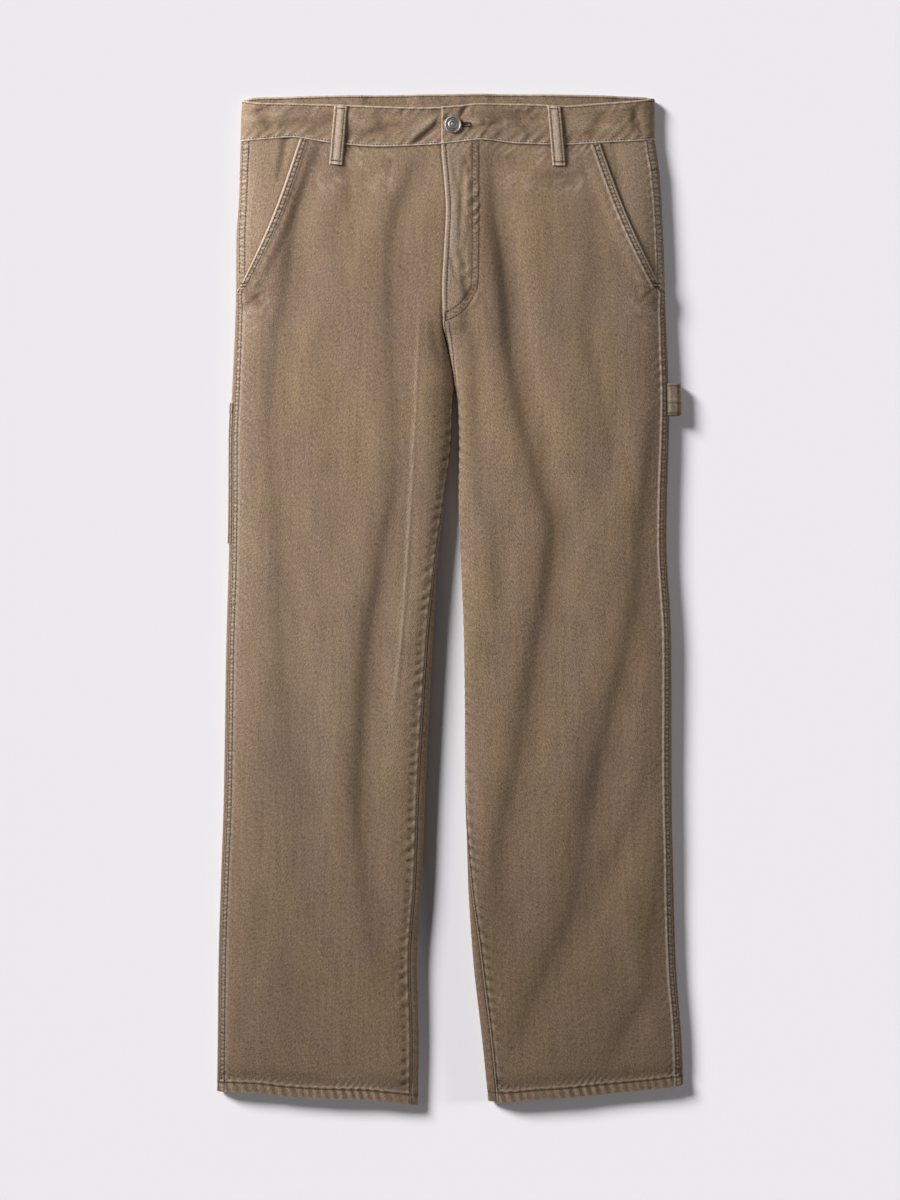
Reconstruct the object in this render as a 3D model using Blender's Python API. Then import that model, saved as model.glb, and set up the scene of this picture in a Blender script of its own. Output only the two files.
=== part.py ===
"""Wide-leg denim work jeans, lying on their back on a flat surface with the front up.

The tables are in millimetres: x runs to the wearer's left, y towards the waist, z up from the
surface. Every piece of cloth is a wall whose outer face lies on one garment surface. A place on
that surface is named by its side of the body, its height y, and its reach: the distance over the
cloth from the garment's outer edge, positive over the front and negative under the back.
"""
import math

import bmesh
import bpy
import numpy as np

MILLIMETRE = 0.001

# Driving sizes, in millimetres
DENIM = 1.2
HEM_THICKNESS = 3.0
HEM_HEIGHT = 12.0
SEAM_GAP = 0.3
WAIST_SEAM = 492.0
BAND_TOP = 533.0
BAND_THICKNESS = 3.0
BAND_PROUD = 1.0
CROTCH = 228.0
HEM = -535.0
UNDER_ROUNDING = 9.0
INNER_SHOULDER = 38.0
LAP_LIFT = 2.0
SLANT_TOP_X = 161.0
SLANT_TIP_X = 226.0
SLANT_TIP_Y = 334.0
SLANT_UNDERLAP = 11.0
FLY_END = 300.0
FLY_UNDERLAP = 11.0
BAND_UNDERLAP = 34.0
YOKE_SIDE = 462.0
YOKE_CENTRE = 424.0
YOKE_EASE_END = 392.0
LOOP_WIDTH = 13.8
LOOP_THICKNESS = 1.8
LOOP_ARCH = 1.3
LOOP_TOP = 532.0
LOOP_FOOT = 469.0
BUTTON_X = 3.2
BUTTON_Y = 510.0
BUTTON_RADIUS = 9.0
SHANK_RADIUS = 2.3
EYE_RADIUS = 2.9
SLIT_LENGTH = 17.0
SLIT_WIDTH = 1.4
POCKET_INNER = 47.0
POCKET_WIDTH = 148.0
POCKET_TOP = 405.0
POCKET_HEIGHT = 150.0
POCKET_POINT = 18.0
TOOL_TOP = 212.0
TOOL_BOTTOM = 60.0
TOOL_WRAP = 5.0
TOOL_REACH = 122.0
HAMMER_TOP = 232.5
HAMMER_BOTTOM = 198.0
HAMMER_THICKNESS = 2.4
HAMMER_STAND = 13.0
HAMMER_REACH = 78.0

SIGN = {"right": -1.0, "left": 1.0}
OTHER = {"right": "left", "left": "right"}

# The fly edge and centre front seam, and the centre back seam, from the waist to the crotch
CENTRE = {
    "columns": ("y", "front", "back"),
    "rows": (
        (560.0, -9.0, 2.5), (492.0, -9.5, 2.5), (453.0, -6.5, 2.5), (420.0, -4.5, 2.2),
        (378.0, -6.5, 2.0), (334.0, -8.6, 2.0), (296.0, -7.4, 2.4), (270.0, -2.2, 3.0),
        (245.0, 3.0, 4.2), (228.0, 4.9, 4.9),
    ),
}

# The two legs seen from above: the outer and inner edges, and how far past the outer and the
# inner edge the side seam and the inseam lie, measured over the cloth, positive over the front
LEGS = {
    "right": {
        "columns": ("y", "outer", "inner", "side_seam", "inseam"),
        "rows": (
            (560.0, -221.0, -9.0, 4.0, 0.0),
            (515.0, -225.0, -9.5, 4.0, 0.0),
            (432.0, -227.5, -5.0, 5.0, 0.0),
            (388.0, -230.5, -6.0, 6.5, 0.0),
            (324.0, -231.0, -8.6, 7.0, 0.0),
            (237.0, -234.3, 6.8, 6.5, 0.0),
            (222.0, -235.0, 3.3, 6.5, 0.0),
            (205.0, -235.9, 2.2, 6.5, 0.0),
            (172.0, -237.2, 1.2, 6.5, 0.0),
            (108.0, -237.4, -6.0, 6.5, 1.0),
            (43.0, -238.5, -13.0, 6.5, 4.0),
            (-44.0, -241.0, -18.5, 6.0, 8.0),
            (-217.0, -244.0, -27.0, 5.5, 9.0),
            (-303.0, -247.0, -30.0, 5.0, 9.0),
            (-389.0, -249.5, -35.6, 4.5, 9.0),
            (-476.0, -250.5, -33.5, 4.0, 9.0),
            (-560.0, -251.5, -35.0, 4.0, 8.0),
        ),
    },
    "left": {
        "columns": ("y", "outer", "inner", "side_seam", "inseam"),
        "rows": (
            (560.0, 220.5, -9.0, 4.0, 0.0),
            (500.0, 220.5, -9.5, 4.0, 0.0),
            (452.0, 226.5, -6.0, 5.0, 0.0),
            (366.0, 231.0, -7.0, 5.0, 0.0),
            (324.0, 232.0, -8.6, 5.0, 0.0),
            (237.0, 235.5, 2.2, 5.0, 0.0),
            (222.0, 236.0, 6.8, 5.0, 0.0),
            (205.0, 236.5, 9.0, 5.0, -1.0),
            (172.0, 236.0, 9.8, 5.0, -5.0),
            (108.0, 234.0, 9.2, 5.0, -8.0),
            (64.0, 233.5, 10.8, 5.0, -8.0),
            (-44.0, 238.5, 15.0, 5.0, -7.0),
            (-217.0, 239.0, 17.3, 4.5, -2.0),
            (-303.0, 241.0, 19.4, 4.0, 4.0),
            (-389.0, 243.5, 25.0, 4.0, 10.0),
            (-476.0, 249.5, 35.0, 4.0, 11.0),
            (-560.0, 252.5, 44.0, 4.0, 10.0),
        ),
    },
}

# The cut across one half: the height of the front, of the outer edge and of the inner end of the
# front, how wide the outer shoulder rounds, and the height that the back rises to at its inner end
SHAPE = {
    "columns": ("y", "crown", "edge", "shoulder", "inner_end", "inner_under"),
    "rows": (
        (560.0, 13.5, 6.0, 22.0, 13.5, 0.0), (492.0, 15.0, 6.0, 26.0, 15.0, 0.0),
        (430.0, 18.0, 4.4, 34.0, 18.0, 0.0), (345.0, 20.0, 4.4, 42.0, 20.0, 0.0),
        (296.0, 20.5, 5.2, 44.0, 17.0, 0.0), (270.0, 20.5, 6.0, 44.0, 10.5, 0.0),
        (246.0, 20.5, 6.6, 44.0, 5.4, 0.0), (228.0, 20.5, 7.0, 44.0, 3.8, 3.8),
        (205.0, 20.5, 7.4, 44.0, 4.8, 4.8), (150.0, 20.5, 7.5, 44.0, 7.6, 7.6),
        (60.0, 20.0, 7.5, 44.0, 10.0, 10.0), (-200.0, 17.5, 7.0, 42.0, 9.6, 9.6),
        (-400.0, 15.5, 6.5, 38.0, 8.2, 8.2), (-500.0, 14.0, 6.3, 34.0, 7.0, 7.0),
        (-560.0, 13.5, 6.2, 32.0, 6.4, 6.4),
    ),
}

# How far the waist seam and the top edge stand above their level lines, across the garment
WAIST_LINE = {
    "columns": ("x", "front_seam", "front_top", "back_seam", "back_top"),
    "rows": (
        (-226.0, 1.1, 5.4, 2.0, 7.0),
        (-205.0, 2.2, 1.4, 4.0, 9.2),
        (-170.0, 4.8, 0.6, 6.0, 9.7),
        (-130.0, -1.1, -0.3, 8.0, 10.8),
        (-76.0, -5.4, -2.2, 10.0, 11.5),
        (-32.0, -3.8, -3.6, 11.0, 12.0),
        (-9.0, -2.4, -3.0, 11.0, 12.2),
        (11.0, -0.5, -1.6, 11.0, 12.5),
        (33.0, 1.6, 0.5, 11.0, 12.8),
        (76.0, -2.2, 0.4, 10.0, 12.4),
        (124.0, -3.2, -1.6, 8.0, 11.8),
        (162.0, -1.1, 1.1, 6.0, 11.0),
        (205.0, 1.1, 4.3, 4.0, 9.4),
        (222.0, 3.6, 7.0, 4.0, 8.4),
    ),
}

# How far the hem edge stands above its level line, across both legs
HEM_LINE = {
    "columns": ("x", "rise"),
    "rows": (
        (-251.0, 5.4), (-212.0, 4.3), (-173.0, 0.0), (-134.0, -2.2), (-95.0, -3.2), (-56.0, -7.0),
        (-36.0, -9.0), (42.0, -5.4), (56.0, -6.5), (93.0, -3.2), (127.0, -1.0), (162.0, 2.7),
        (197.0, 5.9), (231.0, 9.7), (252.0, 12.4),
    ),
}

# The largest folds of the front: where each runs, how deep it is and how wide from its middle
FOLD_COLUMNS = ("y", "x", "depth", "width")
# What share of its width a fold takes to drop towards the wearer's left, and to rise again
STEEP = 0.82
GENTLE = 1.5
FOLDS = {
    "thigh_left": (
        (480.0, 46.0, 0.0, 12.0), (464.0, 48.0, 1.6, 12.0), (415.0, 51.0, 3.2, 12.0),
        (367.0, 58.5, 4.8, 12.5), (318.0, 64.0, 5.2, 12.5), (270.0, 67.5, 4.8, 13.0),
        (221.0, 77.0, 3.8, 13.5), (172.0, 89.0, 3.8, 14.0), (124.0, 101.0, 3.6, 14.0),
        (75.0, 115.0, 3.8, 14.0), (27.0, 111.0, 3.8, 14.5), (-22.0, 103.5, 3.4, 15.0),
        (-71.0, 95.0, 3.0, 15.0), (-168.0, 80.0, 2.6, 16.0), (-265.0, 59.0, 2.2, 16.0),
        (-362.0, 54.5, 1.2, 16.0), (-411.0, 50.0, 0.0, 16.0),
    ),
    "outer_left": (
        (221.0, 225.0, 0.0, 11.0), (172.0, 221.5, 1.8, 12.0), (124.0, 216.5, 2.0, 13.0),
        (75.0, 210.5, 2.3, 14.0), (27.0, 208.5, 2.3, 14.0), (-22.0, 202.0, 2.7, 14.5),
        (-119.0, 179.5, 2.8, 15.5), (-216.0, 158.0, 2.6, 16.0), (-314.0, 143.0, 2.2, 16.0),
        (-411.0, 104.0, 1.8, 16.0), (-460.0, 83.5, 1.4, 16.0), (-510.0, 66.0, 0.0, 16.0),
    ),
    "lap_left": (
        (330.0, 12.0, 0.0, 9.0), (296.0, 18.0, 1.0, 10.0), (270.0, 31.5, 1.8, 11.0),
        (221.0, 30.0, 1.8, 12.0), (124.0, 34.0, 1.2, 13.0), (75.0, 50.0, 0.8, 14.0),
        (-22.0, 58.0, 0.6, 14.0), (-80.0, 52.0, 0.0, 14.0),
    ),
    "hip_left": (
        (450.0, 147.0, 0.0, 12.0), (415.0, 156.5, 1.1, 14.0), (367.0, 158.5, 1.2, 14.0),
        (318.0, 154.5, 1.2, 14.0), (270.0, 154.5, 1.2, 14.0), (221.0, 166.0, 1.1, 14.0),
        (172.0, 175.5, 0.8, 14.0), (110.0, 184.0, 0.0, 14.0),
    ),
    "thigh_right": (
        (482.0, -33.0, 0.0, 12.0), (464.0, -37.5, 1.2, 12.0), (415.0, -53.5, 2.2, 13.0),
        (367.0, -60.0, 2.0, 14.0), (270.0, -58.0, 1.8, 14.0), (124.0, -53.5, 1.8, 14.0),
        (75.0, -63.0, 2.4, 14.0), (27.0, -69.5, 2.8, 14.0), (-22.0, -80.5, 3.4, 14.0),
        (-119.0, -89.0, 3.8, 14.0), (-216.0, -93.5, 3.2, 14.0), (-314.0, -86.0, 2.0, 14.0),
        (-411.0, -67.5, 0.8, 14.0), (-460.0, -53.0, 0.0, 14.0),
    ),
    "hip_right": (
        (480.0, -146.0, 0.0, 11.0), (464.0, -149.0, 1.0, 11.0), (415.0, -163.0, 2.0, 11.0),
        (367.0, -168.0, 2.4, 12.0), (318.0, -173.0, 1.8, 13.0), (270.0, -184.5, 1.2, 13.0),
        (172.0, -190.5, 1.2, 14.0), (75.0, -179.0, 1.2, 14.0), (-22.0, -178.5, 1.6, 14.0),
        (-119.0, -171.0, 1.6, 15.0), (-216.0, -160.0, 1.2, 15.0), (-340.0, -150.0, 0.0, 15.0),
    ),
    "knee_left": (
        (-71.0, 222.0, 0.0, 13.0), (-119.0, 216.0, 0.8, 13.0), (-168.0, 218.0, 1.1, 13.0),
        (-216.0, 207.0, 1.3, 13.0), (-265.0, 186.5, 1.2, 14.0), (-350.0, 158.0, 0.0, 14.0),
    ),
    "calf_left": (
        (-270.0, 232.0, 0.0, 14.0), (-314.0, 229.0, 1.0, 14.0), (-362.0, 220.0, 1.6, 14.0),
        (-411.0, 217.5, 1.7, 14.0), (-460.0, 197.0, 1.4, 14.0), (-512.0, 176.0, 0.0, 14.0),
    ),
    "calf_right": (
        (-330.0, -190.0, 0.0, 20.0), (-430.0, -160.0, 1.3, 20.0), (-510.0, -120.0, 0.8, 20.0),
    ),
}

# What lies under the back, and how far the cloth stands off the surface over it
LIFT_COLUMNS = ("x_low", "x_high", "y_low", "y_high", "height")
POCKET_LIFT = DENIM + SEAM_GAP
LOOP_LIFT = LOOP_THICKNESS + SEAM_GAP
LIFTS = (
    (-POCKET_INNER - POCKET_WIDTH, -POCKET_INNER, POCKET_TOP - POCKET_HEIGHT - POCKET_POINT,
     POCKET_TOP, POCKET_LIFT),
    (POCKET_INNER, POCKET_INNER + POCKET_WIDTH, POCKET_TOP - POCKET_HEIGHT - POCKET_POINT,
     POCKET_TOP, POCKET_LIFT),
    (-260.0, -226.0 + TOOL_REACH - 12.0, TOOL_BOTTOM, TOOL_TOP, POCKET_LIFT),
    (240.0 - HAMMER_REACH, 260.0, HAMMER_BOTTOM, HAMMER_TOP, HAMMER_THICKNESS + SEAM_GAP),
    (-6.0, 10.0, LOOP_FOOT, LOOP_TOP + 10.0, LOOP_LIFT),
    (-140.0, -124.0, LOOP_FOOT, LOOP_TOP + 10.0, LOOP_LIFT),
    (126.0, 142.0, LOOP_FOOT, LOOP_TOP + 10.0, LOOP_LIFT),
)
LIFT_MARGIN = 26.0
LIFT_SLOPE = 16.0

# Belt loops: over the front, the x of the top and of the foot, and under the back, the middle
FRONT_LOOPS = {"right": (-117.3, -122.8), "left": (111.7, 117.2)}
BACK_LOOPS = {
    "belt_loop_side_right": -132.0,
    "belt_loop_back": 2.0,
    "belt_loop_side_left": 134.0,
}

COLOURS = {
    "denim_front": (0.235, 0.162, 0.103),
    "denim_back": (0.215, 0.148, 0.094),
    "denim_band": (0.270, 0.192, 0.128),
    "denim_loop": (0.330, 0.240, 0.168),
    "aged_metal": (0.34, 0.33, 0.32),
}


def remove_everything():
    """Empty the scene, so that only the garment is in it."""
    for item in list(bpy.data.objects):
        bpy.data.objects.remove(item, do_unlink=True)


def smoothstep(low, high, value):
    """0 below low and 1 above high, with a soft rise of 3t^2 - 2t^3 between them."""
    t = np.clip((np.asarray(value, float) - low) / (high - low), 0.0, 1.0)
    return t * t * (3.0 - 2.0 * t)


def read(table, name, at):
    """One named column of a table at the given places, as a smooth curve with no overshoot.

    Between two rows it is the cubic with the harmonic mean of its neighbours' slopes at each end.
    """
    rows = np.array(sorted(table["rows"]), float)
    known = rows[:, 0]
    values = rows[:, table["columns"].index(name)]
    steps = np.diff(known)
    slopes = np.diff(values) / steps
    inner = np.zeros(len(slopes) - 1)
    same = slopes[:-1] * slopes[1:] > 0
    inner[same] = 2.0 * slopes[:-1][same] * slopes[1:][same] / (slopes[:-1] + slopes[1:])[same]
    tangents = np.concatenate(([slopes[0]], inner, [slopes[-1]]))
    place = np.clip(np.asarray(at, float), known[0], known[-1])
    left = np.clip(np.searchsorted(known, place) - 1, 0, len(steps) - 1)
    t = (place - known[left]) / steps[left]
    start = (1.0 + 2.0 * t) * (1.0 - t) ** 2 * values[left]
    end = t * t * (3.0 - 2.0 * t) * values[left + 1]
    start_slope = t * (1.0 - t) ** 2 * steps[left] * tangents[left]
    end_slope = t * t * (t - 1.0) * steps[left] * tangents[left + 1]
    return start + end + start_slope + end_slope


def rounded(distance, reach):
    """A quarter round: 0 with an upright slope at distance 0, level at 1 from reach on."""
    t = np.clip(distance / reach, 0.0, 1.0)
    return np.sqrt(1.0 - (1.0 - t) ** 2)


def bell(distance, width):
    """1 at distance 0, dying away as exp(-(distance / width)^2)."""
    return np.exp(-(distance / width) ** 2)


def fold_height(x, y):
    """Sum of the folds: each a bell-shaped trough that drops steeply towards the wearer's left
    and rises more gently past its bottom, with a broad ridge before it and a low one behind."""
    height = np.zeros_like(x)
    for rows in FOLDS.values():
        fold = {"columns": FOLD_COLUMNS, "rows": rows}
        ends = [row[0] for row in rows]
        depth = read(fold, "depth", y) * ((y <= max(ends)) & (y >= min(ends)))
        across = (x - read(fold, "x", y)) / read(fold, "width", y)
        across = np.where(across < 0.0, across / STEEP, across / GENTLE)
        ridges = 0.45 * bell(across + 2.4, 1.5) + 0.30 * bell(across - 2.0, 1.0)
        height += depth * (ridges - bell(across, 1.0))
    return height


def lift_height(x, y):
    """How far the back stands off the surface, over the pockets, loops and strap under it."""
    height = np.zeros_like(x)
    for x_low, x_high, y_low, y_high, rise in LIFTS:
        edges = (x - x_low, x_high - x, y - y_low, y_high - y)
        window = np.ones_like(x)
        for inside in edges:
            window = window * smoothstep(-LIFT_MARGIN - LIFT_SLOPE, -LIFT_MARGIN, inside)
        height = np.maximum(height, rise * window)
    return height


def inner_edge(side, layer, y):
    """x of the inner end of one half: the centre seam in the seat, the inner edge in the leg."""
    seam = read(CENTRE, layer, y) + SIGN[side] * SEAM_GAP / 2
    return np.where(y > CROTCH, seam, read(LEGS[side], "inner", y))


LEVEL_STEP = 2.0
LEVELS = np.arange(HEM - 20.0, BAND_TOP + 30.0, LEVEL_STEP)
SAMPLES = 160


def front_cut(side, y, share):
    """x and z of the front at shares of the way in: an outer shoulder, the crown with its folds,
    and an inner shoulder that falls to the centre seam or the leg's inner edge."""
    outer = read(LEGS[side], "outer", y)
    inner = inner_edge(side, "front", y)
    from_outer = share * np.abs(inner - outer)
    from_inner = np.abs(inner - outer) - from_outer
    x = outer + (inner - outer) * share
    edge = read(SHAPE, "edge", y)
    level = edge + (read(SHAPE, "inner_end", y) - edge) * share
    softness = 1.0 + smoothstep(250.0, 290.0, y) * (side == "left")
    shoulders = rounded(from_outer, read(SHAPE, "shoulder", y))
    shoulders = shoulders * rounded(from_inner, INNER_SHOULDER) ** softness
    fade = rounded(from_outer, 20.0) * rounded(from_inner + 25.0 * smoothstep(300, 340, y), 20.0)
    z = level + (read(SHAPE, "crown", y) - level) * shoulders + fold_height(x, y) * fade
    return x, z


def back_cut(side, y, share):
    """x and z of the back at shares of the way in: round at the outer edge, flat under the seat
    and leg but for what lies below it, and round again at the leg's inner edge."""
    outer = read(LEGS[side], "outer", y)
    inner = inner_edge(side, "back", y)
    from_outer = share * np.abs(inner - outer)
    from_inner = np.abs(inner - outer) - from_outer
    x = outer + (inner - outer) * share
    under = read(SHAPE, "inner_under", y)
    flat_outer = rounded(from_outer, UNDER_ROUNDING)
    flat_inner = rounded(from_inner, 4.0 + 0.7 * under)
    z = read(SHAPE, "edge", y) * (1.0 - flat_outer) + under * (1.0 - flat_inner)
    off_edge = 1.0 - (1.0 - flat_inner) * smoothstep(0.0, 1.0, under)
    return x, z + lift_height(x, y) * flat_outer * off_edge


def cut_half(side):
    """The outer face of one half, as rows of points at even reach, from one cut at each level."""
    share = (1.0 - np.cos(np.linspace(0.0, math.pi, 4 * SAMPLES))) / 2.0
    y, share = np.meshgrid(LEVELS, share, indexing="ij")
    even = np.linspace(0.0, 1.0, SAMPLES)
    half = {}
    for layer, cut in (("front", front_cut), ("back", back_cut)):
        x, z = cut(side, y, share)
        steps = np.hypot(np.diff(x, axis=1), np.diff(z, axis=1))
        reach = np.concatenate((np.zeros((len(LEVELS), 1)), np.cumsum(steps, axis=1)), axis=1)
        half[layer] = reach[:, -1]
        for name, line in (("_x", x), ("_z", z)):
            half[layer + name] = np.array([
                np.interp(even * along[-1], along, row) for along, row in zip(reach, line)
            ])
    return half


HALVES = {side: cut_half(side) for side in SIGN}


def length_over(side, layer, y):
    """Length of the cloth from the outer edge to the inner end, over the front or the back."""
    return np.interp(y, LEVELS, HALVES[side][layer])


def sample(grid, y, share):
    """A value between the four nearest points of a grid of levels and even shares."""
    row = np.clip((y - LEVELS[0]) / LEVEL_STEP, 0.0, len(LEVELS) - 1.001)
    column = np.clip(share, 0.0, 1.0) * (SAMPLES - 1)
    r = row.astype(int)
    c = np.minimum(column.astype(int), SAMPLES - 2)
    up = row - r
    along = column - c
    low = grid[r, c] * (1.0 - along) + grid[r, c + 1] * along
    high = grid[r + 1, c] * (1.0 - along) + grid[r + 1, c + 1] * along
    return low * (1.0 - up) + high * up


def rise(x, y, reach):
    """How far a level line is moved up or down to follow the waist, the seam and the hem."""
    over_front = smoothstep(-14.0, 6.0, reach)
    seam = read(WAIST_LINE, "back_seam", x) * (1.0 - over_front)
    seam = seam + read(WAIST_LINE, "front_seam", x) * over_front
    top = read(WAIST_LINE, "back_top", x) * (1.0 - over_front)
    top = top + read(WAIST_LINE, "front_top", x) * over_front
    share = np.clip((y - WAIST_SEAM) / (BAND_TOP - WAIST_SEAM), 0.0, 1.0)
    waist = (seam + (top - seam) * share) * smoothstep(WAIST_SEAM - 110.0, WAIST_SEAM, y)
    hem = read(HEM_LINE, "rise", x) * (1.0 - smoothstep(HEM, HEM + 110.0, y))
    return waist + hem


def on_face(side, y, reach):
    """Points of the outer face. Past its inner end the reach runs on round the leg, or, above
    the crotch, across the centre onto the other half."""
    y, reach = np.broadcast_arrays(np.asarray(y, float), np.asarray(reach, float))
    half = HALVES[side]
    front = length_over(side, "front", y)
    back = length_over(side, "back", y)
    leg = y < CROTCH
    reach = np.where(leg & (reach > front), reach - front - back, reach)
    reach = np.where(leg & (reach < -back), reach + front + back, reach)
    share = np.where(reach >= 0, reach / front, -reach / back)
    x = np.where(reach >= 0, sample(half["front_x"], y, share), sample(half["back_x"], y, share))
    z = np.where(reach >= 0, sample(half["front_z"], y, share), sample(half["back_z"], y, share))
    points = np.stack((x, y + rise(x, y, reach), z), axis=-1)
    across = ~leg & (reach > front)
    if across.any():
        other = OTHER[side]
        beyond = length_over(other, "front", y[across]) - (reach - front)[across]
        points[across] = on_face(other, y[across], beyond)
    return points


def outward(side, y, reach):
    """Unit normals out of the cloth, from the slope of the face along and across."""
    y, reach = np.broadcast_arrays(np.asarray(y, float), np.asarray(reach, float))
    front = length_over(side, "front", y)
    back = length_over(side, "back", y)
    seat = y >= CROTCH
    past = seat & (reach > front)
    ahead = np.where(seat, np.minimum(reach + 1.0, front), reach + 1.0)
    behind = np.where(seat, np.maximum(reach - 1.0, -back), reach - 1.0)
    across = on_face(side, y, ahead) - on_face(side, y, behind)
    along = on_face(side, y + 2.0, reach) - on_face(side, y - 2.0, reach)
    normal = np.cross(across, along) * SIGN[side] * -1.0
    normal = normal / np.linalg.norm(normal, axis=-1, keepdims=True)
    if past.any():
        other = OTHER[side]
        beyond = length_over(other, "front", y[past]) - (reach - front)[past]
        normal[past] = outward(other, y[past], beyond)
    return normal


def placed(side, y, reach, out):
    """Points moved out from the face, or into the cloth where out is negative."""
    out = np.broadcast_to(np.asarray(out, float), np.broadcast(y, reach).shape)
    return on_face(side, y, reach) + outward(side, y, reach) * out[..., None]


def reach_at(side, y, x):
    """Reach over the front of the point that lies above x."""
    y, x = np.broadcast_arrays(np.asarray(y, float), np.asarray(x, float))
    low = np.zeros_like(x)
    high = length_over(side, "front", y)
    for _ in range(30):
        middle = (low + high) / 2
        inside = SIGN[side] * (on_face(side, y, middle)[..., 0] - x) > 0
        low = np.where(inside, middle, low)
        high = np.where(inside, high, middle)
    return (low + high) / 2


def spread(count, tightness):
    """Shares from 0 to 1 that crowd towards both ends: t - k sin(2 pi t) / (2 pi)."""
    t = np.linspace(0.0, 1.0, count)
    return t - tightness * np.sin(2.0 * math.pi * t) / (2.0 * math.pi)


def make_material(name, colour, roughness, metallic=0.0):
    """A plain Principled finish."""
    material = bpy.data.materials.new(name)
    material.use_nodes = True
    shader = material.node_tree.nodes["Principled BSDF"]
    shader.inputs["Base Color"].default_value = (*colour, 1.0)
    shader.inputs["Roughness"].default_value = roughness
    shader.inputs["Metallic"].default_value = metallic
    return material


def add_object(name, vertices, faces, colour, roughness=0.9, metallic=0.0):
    """A named object of its own, in metres, with its faces turned outwards."""
    mesh = bpy.data.meshes.new(name)
    mesh.from_pydata((np.asarray(vertices) * MILLIMETRE).tolist(), [], faces)
    mesh.update()
    shape = bmesh.new()
    shape.from_mesh(mesh)
    bmesh.ops.recalc_face_normals(shape, faces=shape.faces)
    if shape.calc_volume(signed=True) < 0:
        bmesh.ops.reverse_faces(shape, faces=shape.faces)
    shape.to_mesh(mesh)
    shape.free()
    mesh.materials.append(make_material(name + "_finish", COLOURS[colour], roughness, metallic))
    item = bpy.data.objects.new(name, mesh)
    bpy.context.scene.collection.objects.link(item)
    return item


def add_wall(name, outer, inner, colour):
    """A wall between an outer and an inner grid of points, closed along its four edges."""
    rows, columns = outer.shape[:2]
    vertices = np.concatenate((outer.reshape(-1, 3), inner.reshape(-1, 3)))
    index = np.arange(rows * columns).reshape(rows, columns)
    below = index + rows * columns
    faces = []
    for grid, turn in ((index, 1), (below, -1)):
        quads = np.stack((grid[:-1, :-1], grid[:-1, 1:], grid[1:, 1:], grid[1:, :-1]), axis=-1)
        faces += quads.reshape(-1, 4)[:, ::turn].tolist()
    rim = np.concatenate((index[0, :], index[1:, -1], index[-1, -2::-1], index[-2:0:-1, 0]))
    deep = rim + rows * columns
    following = np.roll(np.arange(len(rim)), -1)
    for here, after in enumerate(following):
        faces.append([int(rim[after]), int(rim[here]), int(deep[here]), int(deep[after])])
    return add_object(name, vertices, faces, colour)


def thickness(y):
    """Denim, folded up twice over the height of the hem."""
    return np.where(y < HEM + HEM_HEIGHT + 0.5, HEM_THICKNESS, DENIM)


def panel_levels():
    """Heights of the rows of points down a panel: close at the fly and crotch, wide below."""
    return np.concatenate((
        [WAIST_SEAM - SEAM_GAP, 477.0, YOKE_SIDE, 440.0, 416.0, 392.0, 368.0, 352.0, 342.0],
        [SLANT_TIP_Y, 318.0, 306.0, 296.0, 282.0, 268.0, 254.0, 244.0, 235.0, 224.0, 212.0],
        np.linspace(194.0, 60.0, 5),
        np.linspace(28.0, -500.0, 13),
        [HEM + HEM_HEIGHT + 2.0, HEM + HEM_HEIGHT, HEM],
    ))


def slant_x(y):
    """Distance of the slant pocket's edge from the middle of the body."""
    share = (WAIST_SEAM - y) / (WAIST_SEAM - SLANT_TIP_Y)
    bow = 4.0 * np.sin(math.pi * np.clip(share, 0.0, 1.0))
    return SLANT_TOP_X + (SLANT_TIP_X - SLANT_TOP_X) * share - bow


def front_edges(side, y):
    """Reach of a front panel's outer and inner edge at each height."""
    seam = read(LEGS[side], "side_seam", y) + SEAM_GAP / 2
    slant = reach_at(side, y, SIGN[side] * slant_x(y))
    start = np.where(y >= SLANT_TIP_Y, np.maximum(slant, seam), seam)
    end = length_over(side, "front", y) - read(LEGS[side], "inseam", y)
    end = end - np.where(y < CROTCH, SEAM_GAP / 2, 0.0)
    if side == "right":
        lap = smoothstep(FLY_END + 2.0, FLY_END + 20.0, y)
        end = end + lap * FLY_UNDERLAP
    return start, end


def front_lift(side, y, reach):
    """A front panel stands proud along its pocket mouth, and the left one along its fly too."""
    slant = reach_at(side, y, SIGN[side] * slant_x(np.maximum(y, SLANT_TIP_Y)))
    lift = 1.0 - smoothstep(14.0, 26.0, reach - slant)
    lift = LAP_LIFT * lift * smoothstep(SLANT_TIP_Y - 26.0, SLANT_TIP_Y - 4.0, y)
    if side == "left":
        from_fly = length_over(side, "front", y) - reach
        top = 1.5 * smoothstep(WAIST_SEAM - 36.0, WAIST_SEAM, y)
        fly = (LAP_LIFT + top) * (1.0 - smoothstep(17.0, 30.0, from_fly))
        lift = lift + fly * smoothstep(FLY_END - 18.0, FLY_END, y)
    return lift


def add_front_panel(side):
    """One front leg, from the waist seam to the hem."""
    y = panel_levels()[:, None]
    start, end = front_edges(side, y)
    reach = start + (end - start) * spread(20, 0.5)
    y = y + 0.0 * reach
    lift = front_lift(side, y, reach)
    outer = placed(side, y, reach, lift)
    inner = placed(side, y, reach, lift - thickness(y))
    add_wall("front_panel_" + side, outer, inner, "denim_front")


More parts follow.
